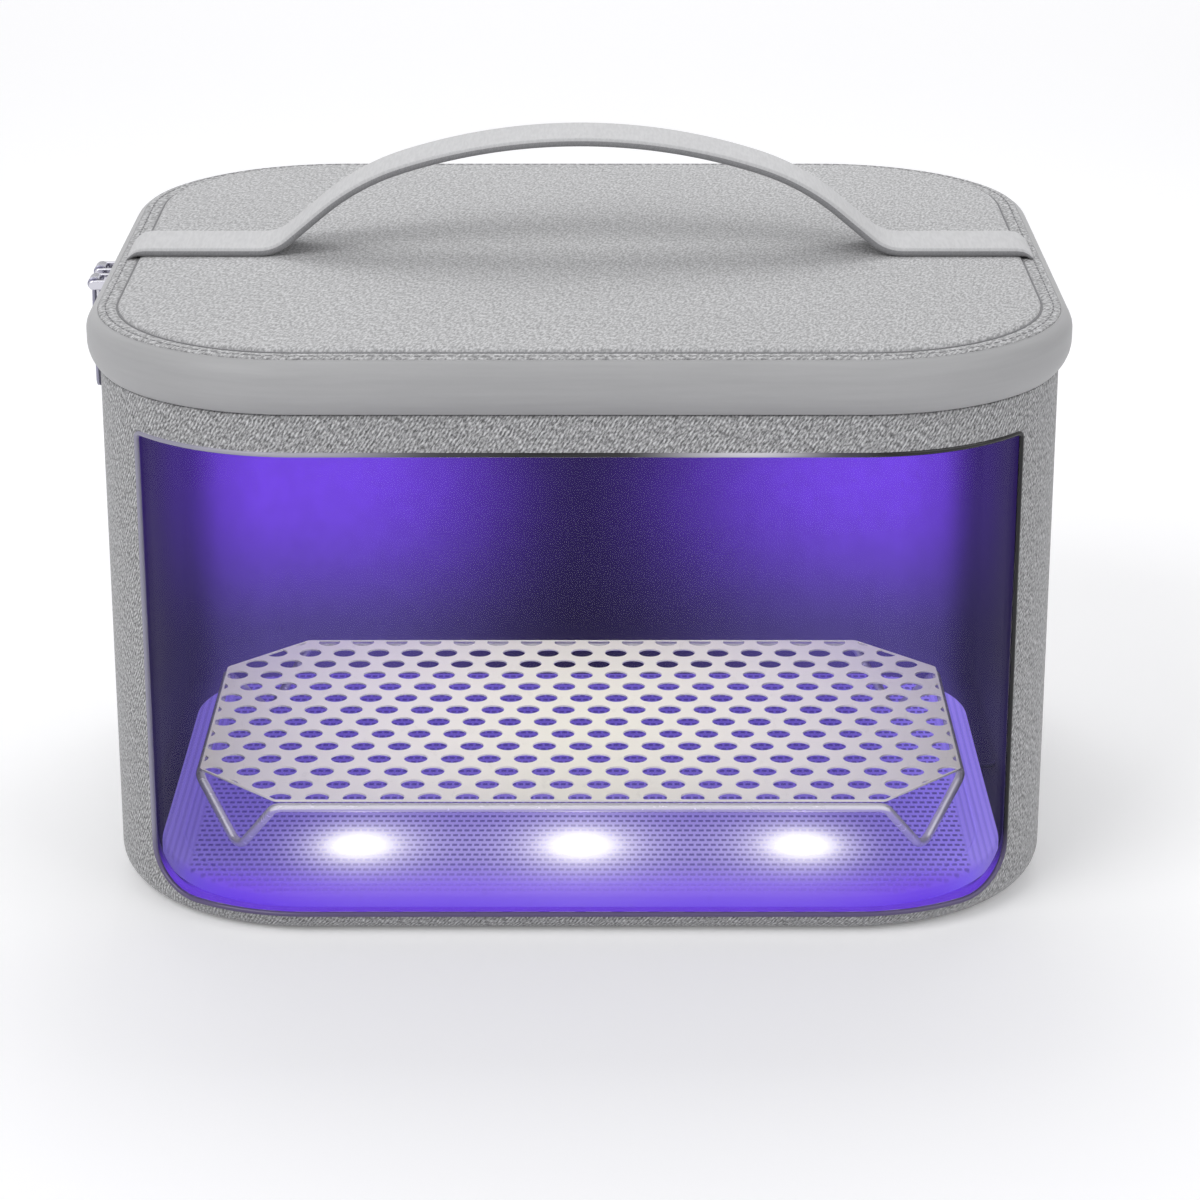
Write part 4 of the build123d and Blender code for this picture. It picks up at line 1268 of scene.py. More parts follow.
@dataclass
class Window:
    """Window in the front wall: its outline and the tools that cut it."""

    half_width: float = 0.1355
    bottom: float = 0.0065
    top: float = 0.1585
    low_corner: float = 0.015
    top_corner: float = 0.0025
    tool_reach: tuple[float, float] = (0.085, 0.150)

    def outline(self, inset: float, steps: int = 8) -> Profile:
        """Outline of the window seen from the front, moved in by an inset."""
        w, low, high = self.half_width - inset, self.bottom + inset, self.top - inset
        lower, upper = self.low_corner - inset, max(self.top_corner - inset, 0.0)
        return rounded(rectangle(-w, w, low, high), [lower, lower, upper, upper], steps)

    def cutter(self, inset: float) -> Piece:
        """Tool that cuts the window through the front wall."""
        return prism("window_tool", self.outline(inset), FRONTAL, *self.tool_reach)

    def path(self, inset: float, wall_inset: float, step: float = 0.0025) -> np.ndarray:
        """Closed path along the window's edge, on the curved wall.

        Args:
            inset: Distance inwards from the window's edge.
            wall_inset: Distance inwards from the wall's face.
            step: Distance between points.

        Returns:
            The points.
        """
        outline = self.outline(inset, 10)
        points: Profile = []
        for here, after in zip(outline, outline[1:] + outline[:1]):
            points += straight(here, after, step)[:-1]
        return np.array([(x, BAG_PLAN.wall_y(x, wall_inset), z) for x, z in points])


@dataclass
class BagBody:
    """Cloth-covered tub with its lining, window and hem."""

    wall: float = 0.006
    floor: float = 0.004
    lining: float = 0.001
    base_round: float = 0.009
    top: float = 0.16955
    rim_round: float = 0.0006
    groove: float = 0.0055
    groove_walls: tuple[float, float] = (0.001, 0.005)
    lip: float = 0.00045
    unit_at: Point = (0.010, 0.148)
    unit_hole: Point = (0.029, 0.010)
    pane_faces: tuple[float, float] = (0.0010, 0.0022)
    pane_margin: float = 0.0009
    binding_inset: float = 0.0024
    binding_thickness: float = 0.0003
    bead_radius: float = 0.00085
    window: Window = field(default_factory=Window)

    def open_up(self, piece: Piece) -> Piece:
        """Cuts the window and the switch unit's hole through the walls."""
        return carve(carve(piece, self.window.cutter(0.0)), self.unit_cutter())

    def unit_cutter(self) -> Piece:
        """Tool that cuts the switch unit's long round-ended hole through the right wall."""
        half, high = self.unit_hole
        y, z = self.unit_at
        sideways = Matrix(((0, 0, 1, 0), (1, 0, 0, y), (0, 1, 0, z), (0, 0, 0, 1)))
        outline = rounded(rectangle(-half, half, -high, high), [high * 0.999] * 4, 10)
        return prism("unit_tool", outline, sideways, 0.135, 0.155)

    def cover(self) -> Piece:
        """Builds the tub: cloth outside, a groove for the zip, and the window cut through."""
        edge, inner, lip = self.rim_round, self.wall, self.top + self.lip
        (outside, inside), deep = self.groove_walls, self.top - self.groove
        profile = list(reversed(BAG_PLAN.to_middle(self.base_round, 0.0)))
        profile += arc((self.base_round, self.base_round), self.base_round, 270, 180, 8)[1:]
        profile += straight((0, self.base_round), (0, lip - edge), 0.0045)[1:]
        profile += arc((edge, lip - edge), edge, 180, 90, 3)[1:]
        profile += [(outside, lip), (outside, deep), (inside, deep), (inside, self.top)]
        profile += straight((inner, self.top), (inner, 2 * self.floor), 0.02)
        profile += arc((inner + self.floor, 2 * self.floor), self.floor, 180, 270, 4)[1:]
        profile += BAG_PLAN.to_middle(inner + self.floor, self.floor, 5)[1:]
        piece = self.open_up(BAG_PLAN.shell("shell_cover", profile))
        return dress(piece, CLOTH, Body.BAG, "body_shell")

    def inner(self) -> Piece:
        """Builds the violet lining."""
        outer, inner = self.wall + HAIR, self.wall + self.lining
        low, radius = self.floor + self.lining, self.floor - self.lining
        profile = list(reversed(BAG_PLAN.to_middle(outer + self.floor, self.floor + HAIR, 5)))
        profile += arc((outer + self.floor, 2 * self.floor), self.floor, 270, 180, 6)[1:]
        profile += straight((outer, 2 * self.floor), (outer, self.top), 0.02)[1:]
        profile += straight((inner, self.top), (inner, low + radius), 0.006)
        profile += arc((inner + radius, low + radius), radius, 180, 270, 6)[1:]
        profile += BAG_PLAN.to_middle(inner + radius, low, 6)[1:]
        piece = self.open_up(BAG_PLAN.shell("inner_lining", profile))
        return dress(piece, LINING, Body.BAG, "body_lining")

    def pane(self) -> Piece:
        """Builds the clear sheet that follows the wall."""
        xs = np.linspace(-self.window.half_width, self.window.half_width, 110)
        levels = np.linspace(self.window.bottom, self.window.top, 12)
        front, behind = ([[(x, BAG_PLAN.wall_y(x, inset), z) for x in xs] for z in levels]
                         for inset in self.pane_faces)
        rows = np.array(front + behind[::-1] + front[:1])
        piece = grid("window_sheet", rows, xs - xs[0], np.linspace(0, 0.3, len(rows)), wrap=False)
        carve(face_out(piece, close=True), self.window.cutter(self.pane_margin), Cut.INSIDE)
        return dress(piece, PANE, Body.BAG, "window_pane")

    def binding(self) -> Piece:
        """Builds the lining's thin binding that turns out over the window's edge, behind the pane."""
        near, far, thick = self.binding_inset, self.wall + self.lining, self.binding_thickness
        corners = [(HAIR, near), (HAIR, far), (thick, far), (thick, near), (HAIR, near)]
        rows = np.array([self.window.path(inset, wall_inset) for inset, wall_inset in corners])
        piece = grid("window_binding", rows, runs(rows[0], True), np.linspace(0, 0.01, 5))
        return dress(face_out(piece), LINING, Body.BAG)

    def bead(self) -> Piece:
        """Builds the polished bead round the pane."""
        path = self.window.path(0.0007, 0.0004)
        return dress(bar("window_edge", path, BEAD, self.bead_radius, 10, True), BEAD, Body.BAG, "window_trim")

    def build(self) -> None:
        """Builds the body's pieces."""
        for make in (self.cover, self.inner, self.pane, self.binding, self.bead):
            make()


@dataclass(frozen=True)
class Cushion:
    """Cloth held along a seam and pushed up by its filling, run on an even net of points."""

    plan: Plan
    seam: float
    strap: float
    spacing: float = 0.005
    pressure: float = 4.0
    frames: int = 20
    slack: float = 0.012
    strap_from: float = 0.1

    def held(self, x: float, y: float) -> bool:
        """True at the seam and under the strap's ends."""
        corner = self.plan.front_corner
        qx, qy = abs(x) - self.plan.width / 2 + corner, abs(y) - self.plan.back + corner
        inset = corner - math.hypot(max(qx, 0.0), max(qy, 0.0)) - min(max(qx, qy), 0.0)
        return inset < self.seam + self.spacing / 2 or (abs(y) < self.strap and abs(x) > self.strap_from)

    def net(self) -> tuple[Piece, np.ndarray, np.ndarray]:
        """Builds the net and holds its points at the seam and under the strap's ends.

        Returns:
            The net's object and its grid lines across and along.
        """
        xs = np.arange(-self.plan.width / 2, self.plan.width / 2 + 1e-6, self.spacing)
        ys = np.arange(self.plan.front, self.plan.back + 1e-6, self.spacing)
        columns = len(xs)
        corners = [r * columns + c for r in range(len(ys) - 1) for c in range(columns - 1)]
        points = [(x, y, 0.0) for y in ys for x in xs]
        mesh = bpy.data.meshes.new("cushion_net")
        mesh.from_pydata(points, [], [(i, i + 1, i + columns + 1, i + columns) for i in corners])
        sheet = link("cushion_net", mesh)
        held = [i for i, (x, y, _) in enumerate(points) if self.held(x, y)]
        sheet.vertex_groups.new(name="held").add(held, 1.0, "REPLACE")
        return sheet, xs, ys

    def rise(self) -> tuple[np.ndarray, np.ndarray, np.ndarray]:
        """Lets the filling push the cloth up and reads how far each point rose.

        Returns:
            The grid lines across and along, and the rise at their crossings as a share of the highest.
        """
        sheet, xs, ys = self.net()
        tool = sheet.modifiers.new("filling", "CLOTH")
        cloth = tool.settings
        cloth.quality, cloth.mass, cloth.vertex_group_mass = 6, 0.25, "held"
        cloth.use_pressure, cloth.uniform_pressure_force = True, self.pressure
        cloth.effector_weights.gravity = 0.0
        cloth.shrink_min = -self.slack
        tool.collision_settings.use_self_collision = False
        tool.point_cache.frame_start, tool.point_cache.frame_end = 1, self.frames
        for step in range(1, self.frames + 1):
            bpy.context.scene.frame_set(step)
        settle(sheet)
        places = np.empty(len(sheet.data.vertices) * 3)
        sheet.data.vertices.foreach_get("co", places)
        bpy.data.objects.remove(sheet)
        bpy.context.scene.frame_set(1)
        high = places.reshape(len(ys), len(xs), 3)[:, :, 2]
        LOG.info("cushion: highest point %.2f mm before it is scaled", 1000 * high.max())
        return xs, ys, high / max(high.max(), 1e-9)


@dataclass
class Lid:
    """Lid with its smooth band, seam loop, padded panel and lining."""

    bottom: float = 0.17085
    top: float = 0.18760
    wall: float = 0.006
    lining: float = 0.001
    board_top: float = 0.1836
    ceiling: float = 0.1816
    rim_round: float = 0.0006
    border: float = 0.0055
    piping: float = 0.0009
    piping_radius: float = 0.0004
    panel_height: float = 0.0011
    crown: float = 0.0008
    pucker: float = 0.00015
    strap_half: float = 0.0135
    strap_from: float = 0.100
    overhang: float = 0.0038
    band_gap: float = 0.080
    band_flat: tuple[float, float] = (0.00765, 0.01065)
    band_ends: tuple[float, ...] = (0.0, 0.55, 0.86, 0.97)
    groove: float = 0.0055
    groove_walls: tuple[float, float] = (0.001, 0.005)
    lip: float = 0.0005

    def cover(self) -> Piece:
        """Builds the lid's cloth-covered cap."""
        low, edge, lip = self.bottom, self.rim_round, self.bottom - self.lip
        outside, inside = self.groove_walls
        profile = list(reversed(BAG_PLAN.to_middle(self.wall, self.board_top, 5)))
        profile += straight((self.wall, self.board_top), (self.wall, low), 0.01)[1:]
        profile += [(inside, low), (inside, low + self.groove), (outside, low + self.groove), (outside, lip)]
        profile += arc((edge, lip + edge), edge, 270, 180, 3)
        profile += straight((0, lip + edge), (0, self.top - edge), 0.0025)[1:]
        profile += arc((edge, self.top - edge), edge, 180, 90, 3)[1:]
        seam = self.border + self.piping
        profile += [(0.0018, self.top + 0.00012), (0.0034, self.top + 0.00018), (0.0050, self.top + 0.00014),
                    (self.border + 0.0001, self.top), (seam, self.top - 0.0005)]
        profile += BAG_PLAN.to_middle(seam + 0.002, self.top - 0.0004, 4)
        return dress(lay_flat(BAG_PLAN.shell("lid_cover", profile)), BORDER, Body.LID, "lid_shell")

    def panel(self) -> Piece:
        """Builds the padded panel, drawn down along its seam and under the strap's ends."""
        edge = self.border + self.piping - 0.00015
        low, high = self.top - 0.0003, self.top + self.panel_height
        profile = list(reversed(BAG_PLAN.to_middle(edge + 0.0004, low, 4)))
        profile += [(edge, low + 0.0004), (edge + 0.0001, high - 0.0008), (edge + 0.00045, high - 0.00042),
                    (edge + 0.0011, high - 0.00018), (edge + 0.0021, high - 0.00005)]
        profile += [(inset, high) for inset in np.geomspace(edge + 0.0032, 0.058, 18)]
        profile += BAG_PLAN.to_middle(0.0595, high, 2)[1:]
        rows, across, up = BAG_PLAN.rings(profile)
        filled = Cushion(BAG_PLAN, edge, self.strap_half).rise()
        for row, (inset, height) in zip(rows, profile):
            if height < high - 1e-6:
                continue
            x, y = row[:, 0], row[:, 1]
            pucker = self.pucker * math.exp(-(inset - edge) / 0.006)
            ripple = np.sin(across[:-1] / 0.0051) * pucker + np.sin(across[:-1] / 0.0137) * pucker * 0.6
            depth = min(1.0, (inset - edge) / 0.03)
            eased = np.full(len(x), depth * depth * (3 - 2 * depth))
            crown = eased if filled is None else between(*filled, x, y)
            strap = np.exp(-((y / self.strap_half) ** 4)) * (np.abs(x) > self.strap_from)
            row[:, 2] += (self.crown * crown + ripple) * (1 - strap) - 0.00012 * strap
        piece = lay_flat(grid("lid_panel", rows, across, up))
        dress(piece, PANEL, Body.LID, "lid_top_panel")
        return piece

    def piping_loop(self) -> Piece:
        """Builds the dark piping in the seam loop."""
        path = BAG_PLAN.loop(self.border + self.piping / 2, self.top - 0.0001)
        return dress(bar("seam_piping", path, PIPING, self.piping_radius, closed=True), PIPING, Body.LID,
                     "lid_piping")

    def border_stitches(self) -> Piece:
        """Builds the row of stitches in the border, beside the band."""
        path = BAG_PLAN.loop(0.0024, self.top + 0.00015)
        row = Stitch(0.0034, 0.0022, 0.00026).sew("border_stitches", path, UP, THREAD, closed=True)
        return dress(row, THREAD, Body.LID)

    def band_section(self, low: float, high: float) -> np.ndarray:
        """Section of the band as distance out and height: a flat belly between two arcs.

        Args:
            low: Height of the band's lower edge.
            high: Height of its upper edge.

        Returns:
            The section's points.
        """
        flat_low, flat_high = (self.bottom + height for height in self.band_flat)
        inner, lower, rise = self.overhang - 0.0003, flat_low - low, high - flat_high
        low_radius = (lower**2 + inner**2) / (2 * inner)
        top_radius = (rise**2 + self.overhang**2) / (2 * self.overhang)
        start = math.degrees(math.asin(lower / low_radius))
        stop = math.degrees(math.asin(min(1.0, rise / top_radius)))
        root = 0.00002
        section = [(root, low + 0.0004), (0.0001, low + 0.0001), (0.0003, low)]
        section += arc((self.overhang - low_radius, flat_low), low_radius, -start, 0, 14)[1:]
        section += straight((self.overhang, flat_low), (self.overhang, flat_high), 0.0015)[1:]
        section += arc((self.overhang - top_radius, flat_high), top_radius, 0, stop, 16)[1:-1]
        section += [(0.0003, high - 0.00002), (root, high - 0.0002)]
        section += straight((root, high - 0.0004), (root, low + 0.0008), 0.004)
        return np.array(section)

    def band(self) -> Piece:
        """Builds the smooth band, bulging round the lid's edge and closed at both ends."""
        low, high = self.bottom - self.lip, self.top - 0.0003
        shape = self.band_section(low, high)
        middle = np.array([self.overhang / 2, (low + high) / 2])
        path, out = BAG_PLAN.open_path(0.0, self.band_gap, 0.0032)
        columns = []
        for i, (place, way) in enumerate(zip(path, out)):
            end = min(i, len(path) - 1 - i)
            share = self.band_ends[end] if end < len(self.band_ends) else 1.0
            here = middle * np.array([share, 1.0])
            here = here + (shape - middle) * np.array([share, 0.72 + 0.28 * share])
            here[:, 0] = np.maximum(shape[:, 0] * share, 0.00002)
            columns.append([(place[0] + way[0] * u, place[1] + way[1] * u, z) for u, z in here])
        piece = grid("lid_band_wrap", np.array(columns), runs(shape, True), runs(path), caps=True)
        return dress(face_out(flip_uv(piece)), BAND, Body.LID, "lid_band")

    def inner(self) -> Piece:
        """Builds the lid's lining."""
        outer, inner, low = self.wall + HAIR, self.wall + self.lining, self.ceiling - self.lining
        profile = list(reversed(BAG_PLAN.to_middle(inner, low, 5)))
        profile += straight((inner, low), (inner, self.bottom), 0.004)[1:]
        profile += straight((outer, self.bottom), (outer, self.ceiling - HAIR), 0.02)
        profile += BAG_PLAN.to_middle(outer, self.ceiling - HAIR, 3)[1:]
        return dress(BAG_PLAN.shell("lid_inner_lining", profile), LID_LINING, Body.LID, "lid_lining")

    def build(self) -> None:
        """Builds the lid's pieces."""
        for make in (self.cover, self.panel, self.piping_loop, self.border_stitches, self.band, self.inner):
            make()
        refinish({"lid_board": STIFFENER, "lid_magnet": STEEL})


@dataclass
class CarryStrap:
    """Arched strap of webbing, darker below as painted shade, sewn down at both sides of the lid."""

    width: float = 0.0245
    thickness: float = 0.003
    edge: float = 0.0011
    seat: float = 0.1887
    rise: float = 0.0364
    flat: float = 0.0392
    arch: tuple[float, float] = (0.190, 17.8)
    shoulder: tuple[float, float] = (0.077, 40.0)
    foot: float = 0.015
    end: float = 0.0055
    end_drop: float = 0.00105
    end_share: float = 0.45
    row_y: float = 0.00985
    bar_x: tuple[float, float] = (0.1085, 0.1405)
    bar_half: float = 0.0092

    def spine(self, step: float = 0.0022) -> np.ndarray:
        """Middle line of the right half, from the top of the arch to the sewn end.

        Args:
            step: Greatest distance between points.

        Returns:
            The points, as distance from the middle and height.
        """
        (arch, first), (shoulder, second), foot = self.arch, self.shoulder, self.foot
        first, second = math.radians(first), math.radians(second)
        drop = arch * (1 - math.cos(first)) + shoulder * (math.cos(first) - math.cos(second))
        slope = (self.rise - drop - foot * (1 - math.cos(second))) / math.sin(second)
        curl = math.acos(1 - self.end_drop / (self.end - self.thickness / 2))
        chain = [(arch, first), (shoulder, second - first), (0.0, slope), (foot, -second), (0.0, self.flat),
                 (self.end, curl)]
        place, heading = np.array([0.0, self.seat + self.thickness / 2 + self.rise]), 0.0
        points = [place]
        for radius, amount in chain:
            length = amount if radius == 0 else abs(amount) * radius
            count = max(6, math.ceil(length / step))
            turn = 0.0 if radius == 0 else amount / count
            for _ in range(count):
                mid = heading - turn / 2
                place = place + np.array([math.cos(mid), math.sin(mid)]) * length / count
                heading -= turn
                points.append(place)
        return np.array(points)

    def section(self) -> Profile:
        """Cross-section of the strap: a flat core with rolled edges."""
        half, thick, edge = self.width / 2, self.thickness / 2, self.edge
        top = [(y, thick - 0.00010 * (y / half) ** 2 - (0.00022 if 0.0096 < abs(y) < 0.0101 else 0.0))
               for y in np.linspace(-half + edge, half - edge, 27)]
        right, left = (arc((side * (half - edge), 0.0), edge, start, stop, 8)
                       for side, start, stop in ((1, 75, -75), (-1, 255, 105)))
        bottom = [(y, -thick + 0.00005) for y in np.linspace(half - edge, -half + edge, 11)]
        stretch = thick / edge
        right, left = ([(y, z * stretch * 0.98) for y, z in roll] for roll in (right, left))
        return top + right + bottom + left

    def frames(self) -> tuple[np.ndarray, np.ndarray]:
        """Points and upward normals along the whole strap, from left to right."""
        half = self.spine()
        points = np.vstack([half[::-1][:-1] * np.array([-1.0, 1.0]), half])
        tangent = np.gradient(points, axis=0)
        tangent /= np.linalg.norm(tangent, axis=1, keepdims=True)
        return points, np.column_stack([-tangent[:, 1], tangent[:, 0]])

    def strap(self) -> Piece:
        """Builds the strap, thinner at its sewn ends, with painted shade on its lower edges and underside."""
        points, normals = self.frames()
        shape, low = np.array(self.section()), -self.thickness / 2
        rows = []
        for p, n in zip(points, normals):
            room = min(1.0, (points[-1, 0] - abs(p[0])) / self.end)
            share = self.end_share + (1 - self.end_share) * room * room * (3 - 2 * room)
            thinned = [(u, low + (v - low) * share) for u, v in shape]
            rows.append([(p[0] + n[0] * v, u, p[1] + n[1] * v) for u, v in thinned])
        piece = grid("strap_webbing", np.array(rows), runs(shape, True), runs(points), caps=True)
        dress(face_out(flip_uv(piece)), STRAP, Body.LID, "handle_strap")
        # The lower edges and the underside take the darker copy of the webbing: painted shade.
        piece.data.materials.append(material_of(STRAP_UNDERSIDE_SHADE))
        shaded_points = {i for i, (_, v) in enumerate(shape) if v < self.thickness / 2 * 0.55}
        for polygon in piece.data.polygons:
            if all(vertex % len(shape) in shaded_points for vertex in polygon.vertices):
                polygon.material_index = 1
        return piece

    def stitches(self) -> Piece:
        """Builds two rows of stitches along the strap and a bar across each end."""
        points, normals = self.frames()
        lifted, zeros = points + normals * (self.thickness / 2 - 0.0002), np.zeros(len(points))
        facing = np.column_stack([normals[:, 0], zeros, normals[:, 1]])[12:-12]
        row, tack = Stitch(0.0036, 0.0025, 0.00024), Stitch(0.0030, 0.0021, 0.00024)
        rows = []
        for y in (-self.row_y, self.row_y):
            path = np.column_stack([lifted[:, 0], zeros + y, lifted[:, 1]])[12:-12]
            rows.append(row.sew("strap_row", path, facing, STRAP))
        height = self.seat + self.thickness - 0.0002
        for side in (-1, 1):
            for x in self.bar_x:
                path = [(side * x, y, height) for y in np.linspace(-self.bar_half, self.bar_half, 12)]
                rows.append(tack.sew("strap_bar", path, UP, STRAP))
        return dress(join("strap_stitches", rows), STRAP, Body.LID)

    def build(self) -> None:
        """Builds the strap's pieces."""
        self.strap()
        self.stitches()


@dataclass
class ZipClosure:
    """Zip round both sides and the front, with two sliders that meet on the left."""

    seam: float = 0.1702
    half_gap: float = 0.00065
    end_x: float = 0.080
    coil_inset: float = 0.0018
    coil_rise: float = 0.00105
    tape_rise: tuple[float, float] = (0.0016, 0.0045)
    tape_faces: tuple[float, float] = (0.00075, 0.00035)
    tilt: float = 20.0
    plate_x: float = -0.150
    bar_x: float = -0.163
    bar_z: float = 0.172
    bar_radius: float = 0.0009
    leg_offset: float = 0.0046
    leg_half: float = 0.0008
    eye_radius: float = 0.0022
    bore_radius: float = 0.0012
    rim_share: float = 0.62
    slider_y: dict[str, float] = field(default_factory=lambda: {"front": 0.020, "rear": 0.036})
    pull_length: float = 0.036

    def chain(self, label: str, side: int, body: Body) -> None:
        """Builds one side's coil and tape.

        Args:
            label: Name of the side.
            side: 1 above the seam and -1 below it.
            body: Body that it rides on.
        """
        edge = self.seam + side * self.half_gap
        path, out = BAG_PLAN.open_path(self.coil_inset, self.end_x + 0.001, 0.004)
        points = np.column_stack([path, np.full(len(path), edge + side * self.coil_rise)])
        heading = np.column_stack([out, np.zeros(len(path))])
        coil = grow(path_host("zip_coil_" + label, points, facing=UP, heading=heading), rod_tree(), COIL, {
            "Pitch": 0.00135, "Length": 0.0015, "Radius": 0.00072, "Sides": 7, "Flatness": (1.0, 0.75, 1.25)})
        dress(coil, COIL, body, "zip_chain_" + label)
        (near, far), (outside, inside) = sorted(edge + side * rise for rise in self.tape_rise), self.tape_faces
        ring = [(outside, near), (outside, far), (inside, far), (inside, near)]
        rows = [[(place[0] + way[0] * u, place[1] + way[1] * u, z) for u, z in ring]
                for place, way in zip(path, out)]
        across = np.array([0, 0.003, 0.0034, 0.0064, 0.0068])
        tape = grid("zip_tape_" + label, np.array(rows), across, runs(path), caps=True)
        dress(face_out(tape), TAPE, body)

    def cross_bar(self, name: str, y: float, half: float, radius: float, sides: int) -> Piece:
        """Round bar on the pull's axis.

        Args:
            name: Name of the bar.
            y: Place of its middle.
            half: Half its length.
            radius: Radius of the bar.
            sides: Number of faces round it.

        Returns:
            The bar.
        """
        return bar(name, [(self.bar_x, y + end, self.bar_z) for end in (-half, half)], CHROME, radius, sides)

    def slider(self, side: str) -> Piece:
        """Builds one slider: a shield outside, a neck through the seam and a bridge for the pull.

        Args:
            side: Which slider.

        Returns:
            The slider.
        """
        y, tilt = self.slider_y[side], math.radians(self.tilt)
        out, across = Vector((-math.cos(tilt), 0, -math.sin(tilt))), Vector((0, -1, 0))
        base = Matrix((across, out.cross(across), out)).transposed().to_4x4()
        base.translation = Vector((self.plate_x, y, self.seam))
        corners = [(-0.007, -0.0012), (-0.0042, -0.0047), (0.0042, -0.0047), (0.007, -0.0012)]
        shield = rounded(corners + [(u, -v) for u, v in reversed(corners)], [0.0008] * 8, 3)
        rim = [(u * self.rim_share, v * self.rim_share) for u, v in shield]
        inner = rounded(rectangle(-0.1466, -0.1455, y - 0.0058, y + 0.0058), [0.0003] * 4, 2)
        parts = [
            ease_edges(prism("plate", shield, base, 0.0021, 0.0036), 0.00045, 3),
            ease_edges(prism("raised", rim, base, 0.0035, 0.0040), 0.0003),
            prism("neck", rectangle(-0.1535, -0.1455, y - 0.004, y + 0.004), LEVEL,
                  self.seam - 0.0001, self.seam + 0.0001),
            ease_edges(prism("inner", inner, LEVEL, self.seam - 0.0037, self.seam + 0.0037), 0.0003),
        ]
        profile = rounded(rectangle(-0.1646, -0.1533, 0.1704, 0.1736), [0.0015, 0.0012, 0.0012, 0.0015], 5)
        for place in (y - self.leg_offset, y + self.leg_offset):
            leg = prism("leg", profile, UPRIGHT, place - self.leg_half, place + self.leg_half)
            parts.append(ease_edges(leg, 0.0005, 3))
        parts.append(self.cross_bar("bar", y, self.leg_offset, self.bar_radius, 16))
        piece = face_out(join("slider_" + side, parts))
        return dress(piece, CHROME, Body("slider_" + side), "zip_slider_" + side)

    def pull(self, side: str) -> Piece:
        """Builds one pull: a rolled eye on the bar and a waisted tab with a raised rim.

        Args:
            side: Which pull.

        Returns:
            The pull.
        """
        y, low, share = self.slider_y[side], -self.pull_length, self.rim_share
        hang = Matrix(((0, 0, -1, self.bar_x), (-1, 0, 0, y), (0, 1, 0, self.bar_z), (0, 0, 0, 1)))
        left = [(-0.0032, -0.0014), (-0.0043, -0.008), (-0.0036, low)]
        outline = rounded(left + [(-u, v) for u, v in reversed(left)],
                          [0.0006, 0.003, 0.0034, 0.0034, 0.003, 0.0006], 8)
        tab = ease_edges(prism("tab", outline, hang, -0.00075, 0.00075), 0.0005, 3)
        slim = [(u * share, -0.0215 + (v + 0.0215) * 0.80) for u, v in outline]
        carve(tab, prism("recess", slim, hang, 0.00052, 0.0012))
        eye = ease_edges(self.cross_bar("eye", y, 0.0032, self.eye_radius, 24), 0.0003)
        bore = self.cross_bar("bore", y, 0.005, self.bore_radius, 20)
        carve(eye, bore, keep=True)
        carve(tab, bore)
        piece = join("pull_tab_" + side, [tab, eye])
        return dress(piece, PULL_CHROME, Body("pull_" + side), "zip_pull_" + side)

    def build(self) -> None:
        """Builds the zip's pieces."""
        self.chain("lower", -1, Body.BAG)
        self.chain("upper", 1, Body.LID)
        for make in (self.slider, self.pull):
            for side in self.slider_y:
                make(side)


@dataclass
class FabricHinge:
    """Cloth strip across the back seam that the lid turns on."""

    half_width: float = 0.076
    low: float = 0.146
    high: float = 0.184
    wall_y: float = 0.128
    thickness: float = 0.0011
    fold: float = 0.1702
    crease: float = 0.0005
    crease_half: float = 0.0012
    hem: float = 0.0002
    hem_width: float = 0.0035
    row_inset: float = 0.0022

    def face_y(self, z: float) -> float:
        """Y of the outer face at a height, with its hems and the pressed crease."""
        crease = self.crease * math.exp(-(((z - self.fold) / self.crease_half) ** 2))
        hem = self.hem if min(z - self.low, self.high - z) < self.hem_width else 0.0
        return self.wall_y + self.thickness - 0.0002 + hem - crease

    def strip(self) -> Piece:
        """Builds the strip, with a pressed crease along the fold.

        Returns:
            The strip.
        """
        levels = np.concatenate([np.linspace(self.low, self.fold - 0.003, 10),
                                 np.linspace(self.fold - 0.002, self.fold + 0.002, 9),
                                 np.linspace(self.fold + 0.003, self.high, 6)])
        xs, height = np.linspace(-self.half_width, self.half_width, 41), self.high - self.low
        front = [[(x, self.face_y(z), z) for x in xs] for z in levels]
        back = [[(x, self.wall_y + 0.00005, z) for x in xs] for z in reversed(levels)]
        behind = height + (self.high - levels[::-1]) + 0.001
        up = np.concatenate([levels - self.low, behind, [2 * height + 0.002]])
        piece = grid("hinge_strip", np.array(front + back + front[:1]), xs - xs[0], up, wrap=False)
        face_out(piece, close=True)
        piece.data.materials.append(material_of(HINGE))
        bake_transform(piece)
        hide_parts("hinge_leaf_lower", "hinge_leaf_upper")
        LOG.info("hinge_strip: %d faces between the body and the lid", len(piece.data.polygons))
        return piece

    def seam(self, name: str, edge: float, stop: float, body: Body) -> Piece:
        """Sews half of the strip down, along its edge and up both sides.

        Args:
            name: Name of the row of stitches.
            edge: Height of the row along the strip's edge.
            stop: Height at which the side rows end, short of the fold.
            body: Body that the half is sewn to.

        Returns:
            The row of stitches.
        """
        side, level = self.half_width - self.row_inset, self.wall_y + self.thickness - 0.00012
        run = straight((-side, stop), (-side, edge), 0.003)[:-1]
        run += straight((-side, edge), (side, edge), 0.003)[:-1]
        run += straight((side, edge), (side, stop), 0.003)
        row = Stitch(0.0034, 0.0023, 0.00026).sew(name, [(x, level, z) for x, z in run], BACKWARDS, THREAD)
        return dress(row, THREAD, body)

    def build(self) -> None:
        """Builds the strip and sews it down."""
        self.strip()
        self.seam("hinge_stitches_lower", self.low + self.row_inset, self.fold - 0.0040, Body.BAG)
        self.seam("hinge_stitches_upper", self.high - self.row_inset, self.fold + 0.0040, Body.LID)


